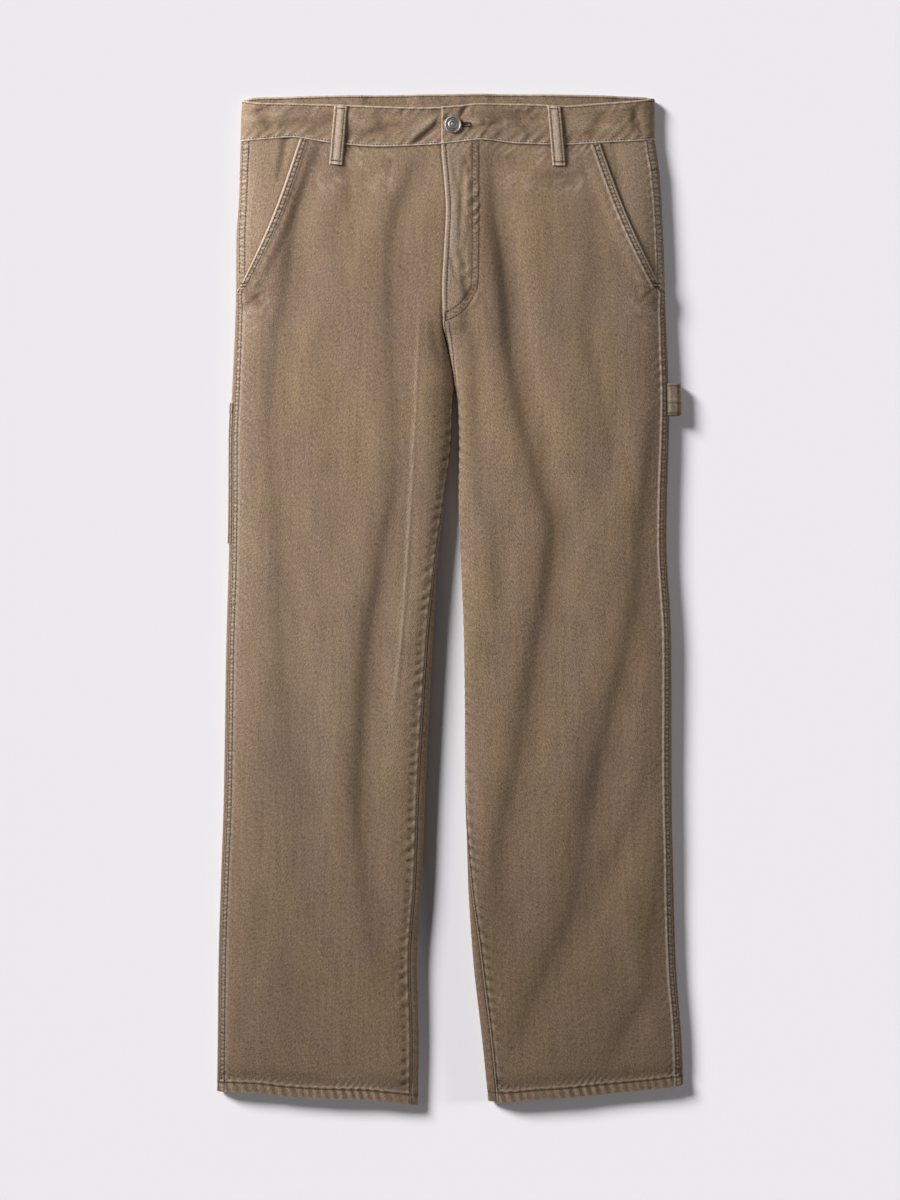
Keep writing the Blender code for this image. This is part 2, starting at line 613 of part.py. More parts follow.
def add_pocket_facing(side):
    """The hip piece behind a slant pocket's mouth, running in under the front panel."""
    y = panel_levels()
    y = y[y > SLANT_TIP_Y - 2.0][:, None]
    start = read(LEGS[side], "side_seam", y) + SEAM_GAP / 2
    slant = reach_at(side, y, SIGN[side] * slant_x(y))
    under = SLANT_UNDERLAP * smoothstep(SLANT_TIP_Y, SLANT_TIP_Y + 30.0, y) + 1.0
    end = np.maximum(slant + under, start + 2.0)
    reach = start + (end - start) * np.linspace(0.0, 1.0, 9) ** 1.25
    y = y + 0.0 * reach
    outer = placed(side, y, reach, 0.0)
    inner = placed(side, y, reach, -DENIM)
    add_wall("pocket_facing_" + side, outer, inner, "denim_front")


def yoke_seam(share):
    """Height of the yoke seam at a share of the way from the side seam to the centre back."""
    return YOKE_SIDE + (YOKE_CENTRE - YOKE_SIDE) * share ** 0.9


def back_edges(side, y):
    """Reach of the back's outer and inner edge at each height."""
    start = read(LEGS[side], "side_seam", y) - SEAM_GAP / 2
    end = -length_over(side, "back", y)
    end = end - np.where(y < CROTCH, read(LEGS[side], "inseam", y) - SEAM_GAP / 2, 0.0)
    return start, end


def add_back_piece(name, side, y, share):
    """A wall of the back, at heights y and at shares of the way from side seam to inner edge."""
    start, end = back_edges(side, y)
    reach = start + (end - start) * share
    outer = placed(side, y, reach, 0.0)
    inner = placed(side, y, reach, -thickness(y))
    add_wall(name, outer, inner, "denim_back")


def add_back_panel(side):
    """One back leg, from the yoke seam to the hem, wrapped round to the side seam on top."""
    share = spread(14, 0.78)
    levels = panel_levels()
    levels = levels[levels <= YOKE_SIDE]
    drop = (yoke_seam(share) - YOKE_EASE_END) / (YOKE_SIDE - YOKE_EASE_END)
    y = levels[:, None] + 0.0 * share
    y = np.where(y > YOKE_EASE_END, YOKE_EASE_END + (y - YOKE_EASE_END) * drop, y)
    y[0] = y[0] - SEAM_GAP
    add_back_piece("back_panel_" + side, side, y, share)


def add_yoke(side):
    """The piece between a back panel and the waistband."""
    share = spread(15, 0.6)
    levels = panel_levels()
    levels = levels[levels >= YOKE_SIDE]
    top = levels[0]
    y = top + (levels[:, None] - top) * (yoke_seam(share) - top) / (YOKE_SIDE - top)
    add_back_piece("back_yoke_" + side, side, y, share)


def button_pass():
    """A keyhole outline cut through the waistband's upper end: a round eye and a straight slit."""
    angles = np.linspace(math.asin(SLIT_WIDTH / 2 / EYE_RADIUS), 2.0 * math.pi, 13)[:-1]
    angles = np.concatenate((angles, [-math.asin(SLIT_WIDTH / 2 / EYE_RADIUS)]))
    outline = [(EYE_RADIUS * math.cos(angle), EYE_RADIUS * math.sin(angle)) for angle in angles]
    outline += [(SLIT_LENGTH, -SLIT_WIDTH / 2), (SLIT_LENGTH, SLIT_WIDTH / 2)]
    base = band_top_at_button() - BAND_THICKNESS - SEAM_GAP / 2
    vertices = [
        (BUTTON_X + x, BUTTON_Y + y, base + z) for z in (0.0, 8.0) for x, y in outline
    ]
    count = len(outline)
    faces = [list(range(count))[::-1], list(range(count, 2 * count))]
    for here in range(count):
        after = (here + 1) % count
        faces.append([here, after, after + count, here + count])
    cutter = add_object("buttonhole_cutter", vertices, faces, "denim_band")
    cutter.hide_render = True
    cutter.display_type = "WIRE"
    return cutter


def band_top_at_button():
    """Height of the waistband's outer face under the button."""
    return placed("left", BUTTON_Y, reach_at("left", BUTTON_Y, BUTTON_X), band_out_on_lap())[2]


def band_out_on_lap():
    """How far the upper end of the waistband stands out from the garment's face."""
    return BAND_PROUD + BAND_THICKNESS + SEAM_GAP


def add_waistband():
    """One strip round the waist: it starts under the front lap, runs round the wearer's right,
    the back and the left, and ends on top of its own start."""
    heights = np.linspace(WAIST_SEAM, BAND_TOP, 4)[:, None]
    outer, inner = [], []
    for side in ("right", "left"):
        front = length_over(side, "front", heights)
        back = length_over(side, "back", heights)
        over = front * (1.0 - spread(22, 0.55))
        under = (3.0 - back) * spread(16, 0.5)[1:]
        if side == "right":
            over = np.concatenate((front + BAND_UNDERLAP * np.array([1.0, 0.66, 0.33]), over), axis=1)
        reach = np.concatenate((over, under), axis=1)
        y = heights + 0.0 * reach
        proud = BAND_PROUD * smoothstep(-4.0, 12.0, reach)
        if side == "left":
            lap = 1.0 - smoothstep(BAND_UNDERLAP + 8.0, BAND_UNDERLAP + 34.0, front - reach)
            proud = proud + (BAND_THICKNESS + SEAM_GAP) * lap
        outer.append(placed(side, y, reach, proud))
        inner.append(placed(side, y, reach, proud - BAND_THICKNESS))
    outer = np.concatenate((outer[0], outer[1][:, ::-1]), axis=1)
    inner = np.concatenate((inner[0], inner[1][:, ::-1]), axis=1)
    band = add_wall("waistband", outer, inner, "denim_band")
    hole = band.modifiers.new("buttonhole", "BOOLEAN")
    hole.operation = "DIFFERENCE"
    hole.solver = "EXACT"
    hole.object = button_pass()


def add_front_loop(name, side, top_x, foot_x):
    """A strap tacked down at both ends, over the waistband and the top of the panel below it."""
    share = np.linspace(0.0, 1.0, 9)[:, None]
    y = LOOP_TOP + (LOOP_FOOT - LOOP_TOP) * share
    x = top_x + (foot_x - top_x) * share + SIGN[side] * LOOP_WIDTH * np.array([-0.5, 0.0, 0.5])
    y = y + 0.0 * x
    reach = reach_at(side, y, x)
    on_band = smoothstep(WAIST_SEAM - 8.0, WAIST_SEAM - 1.0, y)
    arch = LOOP_ARCH * np.sin(math.pi * share) ** 0.7
    seat = SEAM_GAP + BAND_PROUD * on_band + arch
    outer = placed(side, y, reach, seat + LOOP_THICKNESS)
    inner = placed(side, y, reach, seat)
    add_wall(name, outer, inner, "denim_loop")


def add_back_loop(name, middle):
    """The same strap under the back, pressed flat by the garment's weight."""
    y = np.linspace(LOOP_TOP, LOOP_FOOT, 3)[:, None]
    x = middle + LOOP_WIDTH * np.array([-0.5, 0.5])
    y = y + rise(x + 0.0 * y, y + 0.0 * x, np.full((3, 2), -100.0))
    x = x + 0.0 * y
    outer = np.stack((x, y, 0.0 * x), axis=-1)
    inner = np.stack((x, y, LOOP_THICKNESS + 0.0 * x), axis=-1)
    add_wall(name, outer, inner, "denim_loop")


def add_back_pocket(side):
    """A patch pocket on the seat, level along its mouth and pointed at the foot."""
    across = np.linspace(0.0, 1.0, 5)
    x = SIGN[side] * (POCKET_INNER + POCKET_WIDTH * across)
    foot = POCKET_TOP - POCKET_HEIGHT - POCKET_POINT * (1.0 - np.abs(2.0 * across - 1.0))
    share = np.array([0.0, 0.5, 1.0])[:, None]
    y = POCKET_TOP + (foot - POCKET_TOP) * share
    x = x + 0.0 * y
    outer = np.stack((x, y, 0.0 * x), axis=-1)
    inner = np.stack((x, y, DENIM + 0.0 * x), axis=-1)
    add_wall("back_pocket_" + side, outer, inner, "denim_back")


def add_tool_pocket():
    """A long patch pocket on the outside of the right thigh, wrapped round the edge."""
    y = np.linspace(TOOL_TOP, TOOL_BOTTOM, 7)[:, None]
    around = TOOL_WRAP - np.array([0.0, 2.0, 4.0, 6.0, 8.0, 10.0, 12.0, 14.5, 17.0, 20.0, 30.0, 70.0,
                                   TOOL_REACH + TOOL_WRAP])
    reach = around + 0.0 * y
    y = y + 0.0 * reach
    outer = placed("right", y, reach, SEAM_GAP + DENIM)
    inner = placed("right", y, reach, SEAM_GAP)
    for grid, low in ((outer, 0.0), (inner, DENIM)):
        flat = reach < -16.0
        grid[..., 2] = np.where(flat, low, np.maximum(grid[..., 2], low))
    add_wall("tool_pocket", outer, inner, "denim_back")


def hammer_loop_path(y):
    """The strap's middle line in the cut at y: off the side seam, out, round and back under."""
    start = on_face("left", y, np.array(5.0))
    edge = on_face("left", y, np.array(0.0))
    half = HAMMER_THICKNESS / 2
    begin_z = start[2] + half + SEAM_GAP
    radius = (begin_z - half) / 2
    turn_x = edge[0] + HAMMER_STAND - half - radius
    points = [(start[0], begin_z), ((start[0] + turn_x) / 2, begin_z + 0.3)]
    for angle in np.linspace(math.pi / 2, -math.pi / 2, 11):
        points.append((turn_x + radius * math.cos(angle), half + radius + radius * math.sin(angle)))
    points += [(edge[0] - 8.0, half), (edge[0] - 40.0, half), (edge[0] - HAMMER_REACH, half)]
    return np.array(points)


def add_hammer_loop():
    """The strap on the outside of the left thigh, whose slack stands out past the edge."""
    outer, inner = [], []
    for y in np.linspace(HAMMER_TOP, HAMMER_BOTTOM, 3):
        path = hammer_loop_path(y)
        along = np.gradient(path, axis=0)
        along = along / np.linalg.norm(along, axis=1, keepdims=True)
        side = np.stack((-along[:, 1], along[:, 0]), axis=1) * HAMMER_THICKNESS / 2
        for grid, line in ((outer, path + side), (inner, path - side)):
            grid.append(np.stack((line[:, 0], np.full(len(line), y), line[:, 1]), axis=1))
    add_wall("hammer_loop", np.array(outer), np.array(inner), "denim_loop")


def add_button():
    """A turned metal button: a domed, ringed cap on a shank that stands on the lower band end."""
    top = band_top_at_button()
    foot = top - BAND_THICKNESS
    seat = top + SEAM_GAP
    profile = (
        (0.0, foot), (SHANK_RADIUS, foot), (SHANK_RADIUS, seat), (BUTTON_RADIUS - 1.2, seat),
        (BUTTON_RADIUS - 0.3, seat + 0.5), (BUTTON_RADIUS, seat + 1.4),
        (BUTTON_RADIUS - 0.5, seat + 2.3), (BUTTON_RADIUS - 1.6, seat + 2.6),
        (BUTTON_RADIUS - 2.4, seat + 2.3), (BUTTON_RADIUS - 5.0, seat + 2.7), (0.0, seat + 2.9),
    )
    segments = 28
    vertices = [(BUTTON_X, BUTTON_Y, profile[0][1]), (BUTTON_X, BUTTON_Y, profile[-1][1])]
    for radius, z in profile[1:-1]:
        for turn in range(segments):
            angle = 2.0 * math.pi * turn / segments
            vertices.append((
                BUTTON_X + radius * math.cos(angle), BUTTON_Y + radius * math.sin(angle), z,
            ))
    rings = len(profile) - 2
    faces = []
    for turn in range(segments):
        after = (turn + 1) % segments
        faces.append([0, 2 + after, 2 + turn])
        for ring in range(rings - 1):
            low = 2 + ring * segments
            high = low + segments
            faces.append([low + turn, low + after, high + after, high + turn])
        last = 2 + (rings - 1) * segments
        faces.append([last + turn, last + after, 1])
    button = add_object("button", vertices, faces, "aged_metal", 0.38, 1.0)
    button.data.shade_smooth()
    button.data.set_sharp_from_angle(angle=math.radians(40.0))


remove_everything()
for body_side in ("right", "left"):
    add_front_panel(body_side)
    add_pocket_facing(body_side)
    add_back_panel(body_side)
    add_yoke(body_side)
    add_back_pocket(body_side)
add_waistband()
add_button()
for body_side, ends in FRONT_LOOPS.items():
    add_front_loop("belt_loop_front_" + body_side, body_side, *ends)
for loop_name, loop_middle in BACK_LOOPS.items():
    add_back_loop(loop_name, loop_middle)
add_tool_pocket()
add_hammer_loop()
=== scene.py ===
"""Wide-leg washed denim work jeans, laid flat on their back with the front up and fastened.

Sizes are in millimetres unless a name says otherwise: x runs to the wearer's left, y towards the
waist, z up from the surface. A place on the cloth is named by its side of the body, its height y
and its reach: the distance over the cloth from the garment's outer edge, positive over the front
and negative under the back.
"""
import math

import bpy
import numpy as np
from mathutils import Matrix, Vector


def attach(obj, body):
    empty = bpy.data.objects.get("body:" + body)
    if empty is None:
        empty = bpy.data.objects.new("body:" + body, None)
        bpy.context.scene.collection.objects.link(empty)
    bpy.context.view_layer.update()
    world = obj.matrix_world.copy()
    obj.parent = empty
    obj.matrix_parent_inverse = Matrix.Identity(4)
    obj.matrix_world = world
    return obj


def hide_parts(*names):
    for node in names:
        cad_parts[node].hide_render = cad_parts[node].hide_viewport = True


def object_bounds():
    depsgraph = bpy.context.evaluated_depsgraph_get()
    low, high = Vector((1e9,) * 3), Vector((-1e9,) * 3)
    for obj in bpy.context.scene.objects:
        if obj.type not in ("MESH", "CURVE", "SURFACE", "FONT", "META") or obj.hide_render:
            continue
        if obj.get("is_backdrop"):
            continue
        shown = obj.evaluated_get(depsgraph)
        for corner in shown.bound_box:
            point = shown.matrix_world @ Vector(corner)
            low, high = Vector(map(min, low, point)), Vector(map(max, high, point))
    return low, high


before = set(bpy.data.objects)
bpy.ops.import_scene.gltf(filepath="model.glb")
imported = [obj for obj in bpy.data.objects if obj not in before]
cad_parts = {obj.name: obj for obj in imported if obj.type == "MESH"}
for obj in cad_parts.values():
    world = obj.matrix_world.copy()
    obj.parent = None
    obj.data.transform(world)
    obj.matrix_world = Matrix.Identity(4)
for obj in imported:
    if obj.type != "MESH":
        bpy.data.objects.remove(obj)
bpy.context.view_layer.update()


# Front legs: two panels of tan denim twill about 1.2 mm thick, cut with the grain down the leg.
# They are felled to the backs at the side seams, turned in along the slant pocket mouths, and
# the left one laps over the right one at the fly. The hems are folded up twice and sewn once.
MILLIMETRE = 0.001
DENIM = 1.2
HEM_THICKNESS = 3.0
HEM_HEIGHT = 12.0
SEAM_GAP = 0.3
WAIST_SEAM = 492.0
BAND_TOP = 533.0
CROTCH = 228.0
HEM = -535.0
UNDER_ROUNDING = 9.0
INNER_SHOULDER = 38.0
LAP_LIFT = 2.0
SLANT_TOP_X = 161.0
SLANT_TIP_X = 226.0
SLANT_TIP_Y = 334.0
FLY_END = 300.0
FLY_UNDERLAP = 11.0
SIGN = {"right": -1.0, "left": 1.0}
OTHER = {"right": "left", "left": "right"}

# The fly edge and centre front seam, and the centre back seam, from the waist to the crotch
CENTRE = {
    "columns": ("y", "front", "back"),
    "rows": (
        (560, -9, 2.5), (492, -9.5, 2.5), (453, -6.5, 2.5), (420, -4.5, 2.2), (378, -6.5, 2),
        (334, -8.6, 2), (296, -7.4, 2.4), (270, -2.2, 3), (245, 3, 4.2), (228, 4.9, 4.9),
    ),
}

# The outer and inner edges of the legs from above, and how far past them the seams lie
LEGS = {
    "right": {
        "columns": ("y", "outer", "inner", "side_seam", "inseam"),
        "rows": (
            (560, -221, -9, 4, 0), (515, -225, -9.5, 4, 0), (432, -227.5, -5, 5, 0),
            (388, -230.5, -6, 6.5, 0), (324, -231, -8.6, 7, 0), (237, -234.3, 6.8, 6.5, 0),
            (222, -235, 3.3, 6.5, 0), (205, -235.9, 2.2, 6.5, 0), (172, -237.2, 1.2, 6.5, 0),
            (108, -237.4, -6, 6.5, 1), (43, -238.5, -13, 6.5, 4), (-44, -241, -18.5, 6, 8),
            (-217, -244, -27, 5.5, 9), (-303, -247, -30, 5, 9), (-389, -249.5, -35.6, 4.5, 9),
            (-476, -250.5, -33.5, 4, 9), (-560, -251.5, -35, 4, 8),
        ),
    },
    "left": {
        "columns": ("y", "outer", "inner", "side_seam", "inseam"),
        "rows": (
            (560, 220.5, -9, 4, 0), (500, 220.5, -9.5, 4, 0), (452, 226.5, -6, 5, 0),
            (366, 231, -7, 5, 0), (324, 232, -8.6, 5, 0), (237, 235.5, 2.2, 5, 0),
            (222, 236, 6.8, 5, 0), (205, 236.5, 9, 5, -1), (172, 236, 9.8, 5, -5),
            (108, 234, 9.2, 5, -8), (64, 233.5, 10.8, 5, -8), (-44, 238.5, 15, 5, -7),
            (-217, 239, 17.3, 4.5, -2), (-303, 241, 19.4, 4, 4), (-389, 243.5, 25, 4, 10),
            (-476, 249.5, 35, 4, 11), (-560, 252.5, 44, 4, 10),
        ),
    },
}

# The cut across one half: heights of the front, of its two ends, and how wide its shoulder rounds
SHAPE = {
    "columns": ("y", "crown", "edge", "shoulder", "inner_end", "inner_under"),
    "rows": (
        (560, 13.5, 6, 22, 13.5, 0), (492, 15, 6, 26, 15, 0), (430, 18, 4.4, 34, 18, 0),
        (345, 20, 4.4, 42, 20, 0), (296, 20.5, 5.2, 44, 17, 0), (270, 20.5, 6, 44, 10.5, 0),
        (246, 20.5, 6.6, 44, 5.4, 0), (228, 20.5, 7, 44, 3.8, 3.8), (205, 20.5, 7.4, 44, 4.8, 4.8),
        (150, 20.5, 7.5, 44, 7.6, 7.6), (60, 20, 7.5, 44, 10, 10), (-200, 17.5, 7, 42, 9.6, 9.6),
        (-400, 15.5, 6.5, 38, 8.2, 8.2), (-500, 14, 6.3, 34, 7, 7), (-560, 13.5, 6.2, 32, 6.4, 6.4),
    ),
}

# How far the waist seam, the top edge and the hem edge stand above their level lines
WAIST_LINE = {
    "columns": ("x", "front_seam", "front_top", "back_seam", "back_top"),
    "rows": (
        (-226, 1.1, 5.4, 2, 7), (-205, 2.2, 1.4, 4, 9.2), (-170, 4.8, 0.6, 6, 9.7),
        (-130, -1.1, -0.3, 8, 10.8), (-76, -5.4, -2.2, 10, 11.5), (-32, -3.8, -3.6, 11, 12),
        (-9, -2.4, -3, 11, 12.2), (11, -0.5, -1.6, 11, 12.5), (33, 1.6, 0.5, 11, 12.8),
        (76, -2.2, 0.4, 10, 12.4), (124, -3.2, -1.6, 8, 11.8), (162, -1.1, 1.1, 6, 11),
        (205, 1.1, 4.3, 4, 9.4), (222, 3.6, 7, 4, 8.4),
    ),
}
HEM_LINE = {
    "columns": ("x", "rise"),
    "rows": (
        (-251, 5.4), (-212, 4.3), (-173, 0), (-134, -2.2), (-95, -3.2), (-56, -7), (-36, -9),
        (42, -5.4), (56, -6.5), (93, -3.2), (127, -1), (162, 2.7), (197, 5.9), (231, 9.7),
        (252, 12.4),
    ),
}

# The folds of the front: where each runs, how deep it is and how wide from its middle
FOLD_COLUMNS = ("y", "x", "depth", "width")
# What share of its width a fold takes to drop towards the wearer's left, and to rise again
STEEP = 0.82
GENTLE = 1.5
FOLDS = {
    "thigh_left": (
        (480, 46, 0, 12), (464, 48, 1.6, 12), (415, 51, 3.2, 12), (367, 58.5, 4.8, 12.5),
        (318, 64, 5.2, 12.5), (270, 67.5, 4.8, 13), (221, 77, 3.8, 13.5), (172, 89, 3.8, 14),
        (124, 101, 3.6, 14), (75, 115, 3.8, 14), (27, 111, 3.8, 14.5), (-22, 103.5, 3.4, 15),
        (-71, 95, 3, 15), (-168, 80, 2.6, 16), (-265, 59, 2.2, 16), (-362, 54.5, 1.2, 16),
        (-411, 50, 0, 16),
    ),
    "outer_left": (
        (221, 225, 0, 11), (172, 221.5, 1.8, 12), (124, 216.5, 2, 13), (75, 210.5, 2.3, 14),
        (27, 208.5, 2.3, 14), (-22, 202, 2.7, 14.5), (-119, 179.5, 2.8, 15.5), (-216, 158, 2.6, 16),
        (-314, 143, 2.2, 16), (-411, 104, 1.8, 16), (-460, 83.5, 1.4, 16), (-510, 66, 0, 16),
    ),
    "lap_left": (
        (330, 12, 0, 9), (296, 18, 1, 10), (270, 31.5, 1.8, 11), (221, 30, 1.8, 12),
        (124, 34, 1.2, 13), (75, 50, 0.8, 14), (-22, 58, 0.6, 14), (-80, 52, 0, 14),
    ),
    "hip_left": (
        (450, 147, 0, 12), (415, 156.5, 1.1, 14), (367, 158.5, 1.2, 14), (318, 154.5, 1.2, 14),
        (270, 154.5, 1.2, 14), (221, 166, 1.1, 14), (172, 175.5, 0.8, 14), (110, 184, 0, 14),
    ),
    "thigh_right": (
        (482, -33, 0, 12), (464, -37.5, 1.2, 12), (415, -53.5, 2.2, 13), (367, -60, 2, 14),
        (270, -58, 1.8, 14), (124, -53.5, 1.8, 14), (75, -63, 2.4, 14), (27, -69.5, 2.8, 14),
        (-22, -80.5, 3.4, 14), (-119, -89, 3.8, 14), (-216, -93.5, 3.2, 14), (-314, -86, 2, 14),
        (-411, -67.5, 0.8, 14), (-460, -53, 0, 14),
    ),
    "hip_right": (
        (480, -146, 0, 11), (464, -149, 1, 11), (415, -163, 2, 11), (367, -168, 2.4, 12),
        (318, -173, 1.8, 13), (270, -184.5, 1.2, 13), (172, -190.5, 1.2, 14), (75, -179, 1.2, 14),
        (-22, -178.5, 1.6, 14), (-119, -171, 1.6, 15), (-216, -160, 1.2, 15), (-340, -150, 0, 15),
    ),
    "knee_left": (
        (-71, 222, 0, 13), (-119, 216, 0.8, 13), (-168, 218, 1.1, 13), (-216, 207, 1.3, 13),
        (-265, 186.5, 1.2, 14), (-350, 158, 0, 14),
    ),
    "calf_left": (
        (-270, 232, 0, 14), (-314, 229, 1, 14), (-362, 220, 1.6, 14), (-411, 217.5, 1.7, 14),
        (-460, 197, 1.4, 14), (-512, 176, 0, 14),
    ),
    "calf_right": (
        (-330, -190, 0, 20), (-430, -160, 1.3, 20), (-510, -120, 0.8, 20),
    ),
}

# The pressed line down the right thigh, raised and worn, in the columns of the folds
CREASES = {
    "pressed_line_right": (
        (350, -32.5, 0, 1.3), (300, -34, -0.45, 1.4), (184, -38.9, -0.7, 1.4),
        (50, -46.4, -0.8, 1.5), (-39, -52.9, -0.7, 1.6), (-165, -65.9, 0, 1.8),
    ),
}

# Short creases: from x, y to x, y, then depth and width; a negative depth is a ridge
STROKES = (
    (98, 457, 152, 459, 1, 4.5), (103, 448, 139, 450, 0.5, 3.5), (-221, 332, -192, 306, 1.2, 3),
    (-226, 310, -198, 331, 0.9, 2.4), (222, 337, 203, 318, 0.9, 2.4),
    (224, 320, 206, 332, 0.6, 2.2), (-8, 322, -1, 236, 0.6, 3.2), (-20, 300, -8, 246, 0.7, 5),
    (14, 470, 11, 380, 1, 2.8), (17, 476, 22, 455, 1, 3), (20, 486, 17, 392, -0.8, 3.2),
    (5, 440, 7, 340, -0.5, 3), (4, 470, 12, 430, 0.7, 2.6), (12, 350, 20, 322, 1, 3),
    (8, 380, 18, 352, 0.8, 2.8), (-60, 480, -72, 440, 0.5, 4), (1, 420, 3, 372, -0.6, 2),
    (18, 384, 20, 340, -0.6, 2), (0, 368, 10, 336, 0.8, 2.4), (10, 428, 20, 404, 0.6, 2.4),
    (34, 330, 46, 296, 0.5, 4), (-108, 470, -150, 440, 0.5, 6), (-114, 476, -106, 410, 0.8, 6),
    (-60, 478, -86, 455, 0.4, 6), (60, 478, 84, 458, 0.4, 6),
)


def clipped(value):
    """The value held between 0 and 1."""
    return np.clip(value, 0.0, 1.0)


def together(*values):
    """The values as arrays of one shape."""
    return np.broadcast_arrays(*(np.asarray(value, float) for value in values))


def smoothstep(low, high, value):
    """0 below low and 1 above high, with a soft rise of 3t^2 - 2t^3 between them."""
    t = clipped((np.asarray(value, float) - low) / (high - low))
    return t * t * (3.0 - 2.0 * t)


def bell(distance, width):
    """1 at distance 0, dying away as exp(-(distance / width)^2)."""
    return np.exp(-(distance / width) ** 2)


def read(table, name, at):
    """One named column of a table at the given places, as a smooth curve with no overshoot.

    Between two rows it is the cubic with the harmonic mean of its neighbours' slopes at each end.
    """
    rows = np.array(sorted(table["rows"]), float)
    known = rows[:, 0]
    values = rows[:, table["columns"].index(name)]
    steps = np.diff(known)
    slopes = np.diff(values) / steps
    inner = np.zeros(len(slopes) - 1)
    same = slopes[:-1] * slopes[1:] > 0
    inner[same] = 2.0 * slopes[:-1][same] * slopes[1:][same] / (slopes[:-1] + slopes[1:])[same]
    tangents = np.concatenate(([slopes[0]], inner, [slopes[-1]]))
    place = np.clip(np.asarray(at, float), known[0], known[-1])
    left = np.clip(np.searchsorted(known, place) - 1, 0, len(steps) - 1)
    t = (place - known[left]) / steps[left]
    start = (1.0 + 2.0 * t) * (1.0 - t) ** 2 * values[left]
    end = t * t * (3.0 - 2.0 * t) * values[left + 1]
    start_slope = t * (1.0 - t) ** 2 * steps[left] * tangents[left]
    end_slope = t * t * (t - 1.0) * steps[left] * tangents[left + 1]
    return start + end + start_slope + end_slope


def rounded(distance, reach):
    """A quarter round: 0 with an upright slope at distance 0, level at 1 from reach on."""
    t = clipped(distance / reach)
    return np.sqrt(1.0 - (1.0 - t) ** 2)


def fold_height(x, y, folds):
    """Sum of the folds: each a bell-shaped trough that drops steeply towards the wearer's left
    and rises more gently past its bottom, with a broad ridge before it and a low one behind."""
    height = np.zeros_like(x)
    for rows in folds.values():
        fold = {"columns": FOLD_COLUMNS, "rows": rows}
        ends = [row[0] for row in rows]
        depth = read(fold, "depth", y) * ((y <= max(ends)) & (y >= min(ends)))
        across = (x - read(fold, "x", y)) / read(fold, "width", y)
        across = np.where(across < 0.0, across / STEEP, across / GENTLE)
        ridges = 0.45 * bell(across + 2.4, 1.5) + 0.30 * bell(across - 2.0, 1.0)
        height += depth * (ridges - bell(across, 1.0))
    return height


# What lies under the back: low x, high x, low y, high y, and how far it lifts the cloth
LIFTS = (
    (-195, -47, 237, 405, 1.5), (47, 195, 237, 405, 1.5), (-260, -116, 60, 212, 1.5),
    (162, 260, 198, 232.5, 2.7), (-6, 10, 469, 542, 2.1), (-140, -124, 469, 542, 2.1),
    (126, 142, 469, 542, 2.1),
)
LIFT_MARGIN = 26.0
LIFT_SLOPE = 16.0


def lift_height(x, y):
    """How far the back stands off the surface: a soft-edged plateau over each thing under it."""
    height = np.zeros_like(x)
    for x_low, x_high, y_low, y_high, top in LIFTS:
        window = np.ones_like(x)
        for inside in (x - x_low, x_high - x, y - y_low, y_high - y):
            window = window * smoothstep(-LIFT_MARGIN - LIFT_SLOPE, -LIFT_MARGIN, inside)
        height = np.maximum(height, top * window)
    return height


def inner_edge(side, layer, y):
    """x of the inner end of one half: the centre seam in the seat, the inner edge in the leg."""
    seam = read(CENTRE, layer, y) + SIGN[side] * SEAM_GAP / 2
    return np.where(y > CROTCH, seam, read(LEGS[side], "inner", y))


def front_cut(side, y, share):
    """x and z of the front at shares of the way in: a quarter-round outer shoulder, the crown
    with its folds, and an inner shoulder that falls to the centre seam or the inner edge."""
    outer = read(LEGS[side], "outer", y)
    inner = inner_edge(side, "front", y)
    from_outer = share * np.abs(inner - outer)
    from_inner = np.abs(inner - outer) - from_outer
    x = outer + (inner - outer) * share
    edge = read(SHAPE, "edge", y)
    level = edge + (read(SHAPE, "inner_end", y) - edge) * share
    softness = 1.0 + smoothstep(250.0, 290.0, y) * (side == "left")
    shoulders = rounded(from_outer, read(SHAPE, "shoulder", y))
    shoulders = shoulders * rounded(from_inner, INNER_SHOULDER) ** softness
    fade = rounded(from_outer, 20.0) * rounded(from_inner + 25.0 * smoothstep(300, 340, y), 20.0)
    z = level + (read(SHAPE, "crown", y) - level) * shoulders + fold_height(x, y, FOLDS) * fade
    return x, z


def back_cut(side, y, share):
    """x and z of the back at shares of the way in: round at the outer edge, flat under the seat
    and leg but for what lies below it, and round again at the leg's inner edge."""
    outer = read(LEGS[side], "outer", y)
    inner = inner_edge(side, "back", y)
    from_outer = share * np.abs(inner - outer)
    from_inner = np.abs(inner - outer) - from_outer
    x = outer + (inner - outer) * share
    under = read(SHAPE, "inner_under", y)
    flat_outer = rounded(from_outer, UNDER_ROUNDING)
    flat_inner = rounded(from_inner, 4.0 + 0.7 * under)
    z = read(SHAPE, "edge", y) * (1.0 - flat_outer) + under * (1.0 - flat_inner)
    off_edge = 1.0 - (1.0 - flat_inner) * smoothstep(0.0, 1.0, under)
    return x, z + lift_height(x, y) * flat_outer * off_edge


LEVEL_STEP = 2.0
LEVELS = np.arange(HEM - 20.0, BAND_TOP + 30.0, LEVEL_STEP)
SAMPLES = 220


def cut_half(side):
    """The outer face of one half, as rows of points at even reach, from one cut at each level."""
    share = (1.0 - np.cos(np.linspace(0.0, math.pi, 4 * SAMPLES))) / 2.0
    y, share = np.meshgrid(LEVELS, share, indexing="ij")
    even = np.linspace(0.0, 1.0, SAMPLES)
    half = {}
    for layer, cut in (("front", front_cut), ("back", back_cut)):
        x, z = cut(side, y, share)
        steps = np.hypot(np.diff(x, axis=1), np.diff(z, axis=1))
        reach = np.concatenate((np.zeros((len(LEVELS), 1)), np.cumsum(steps, axis=1)), axis=1)
        half[layer] = reach[:, -1]
        for name, line in (("_x", x), ("_z", z)):
            half[layer + name] = np.array([
                np.interp(even * along[-1], along, row) for along, row in zip(reach, line)
            ])
    return half


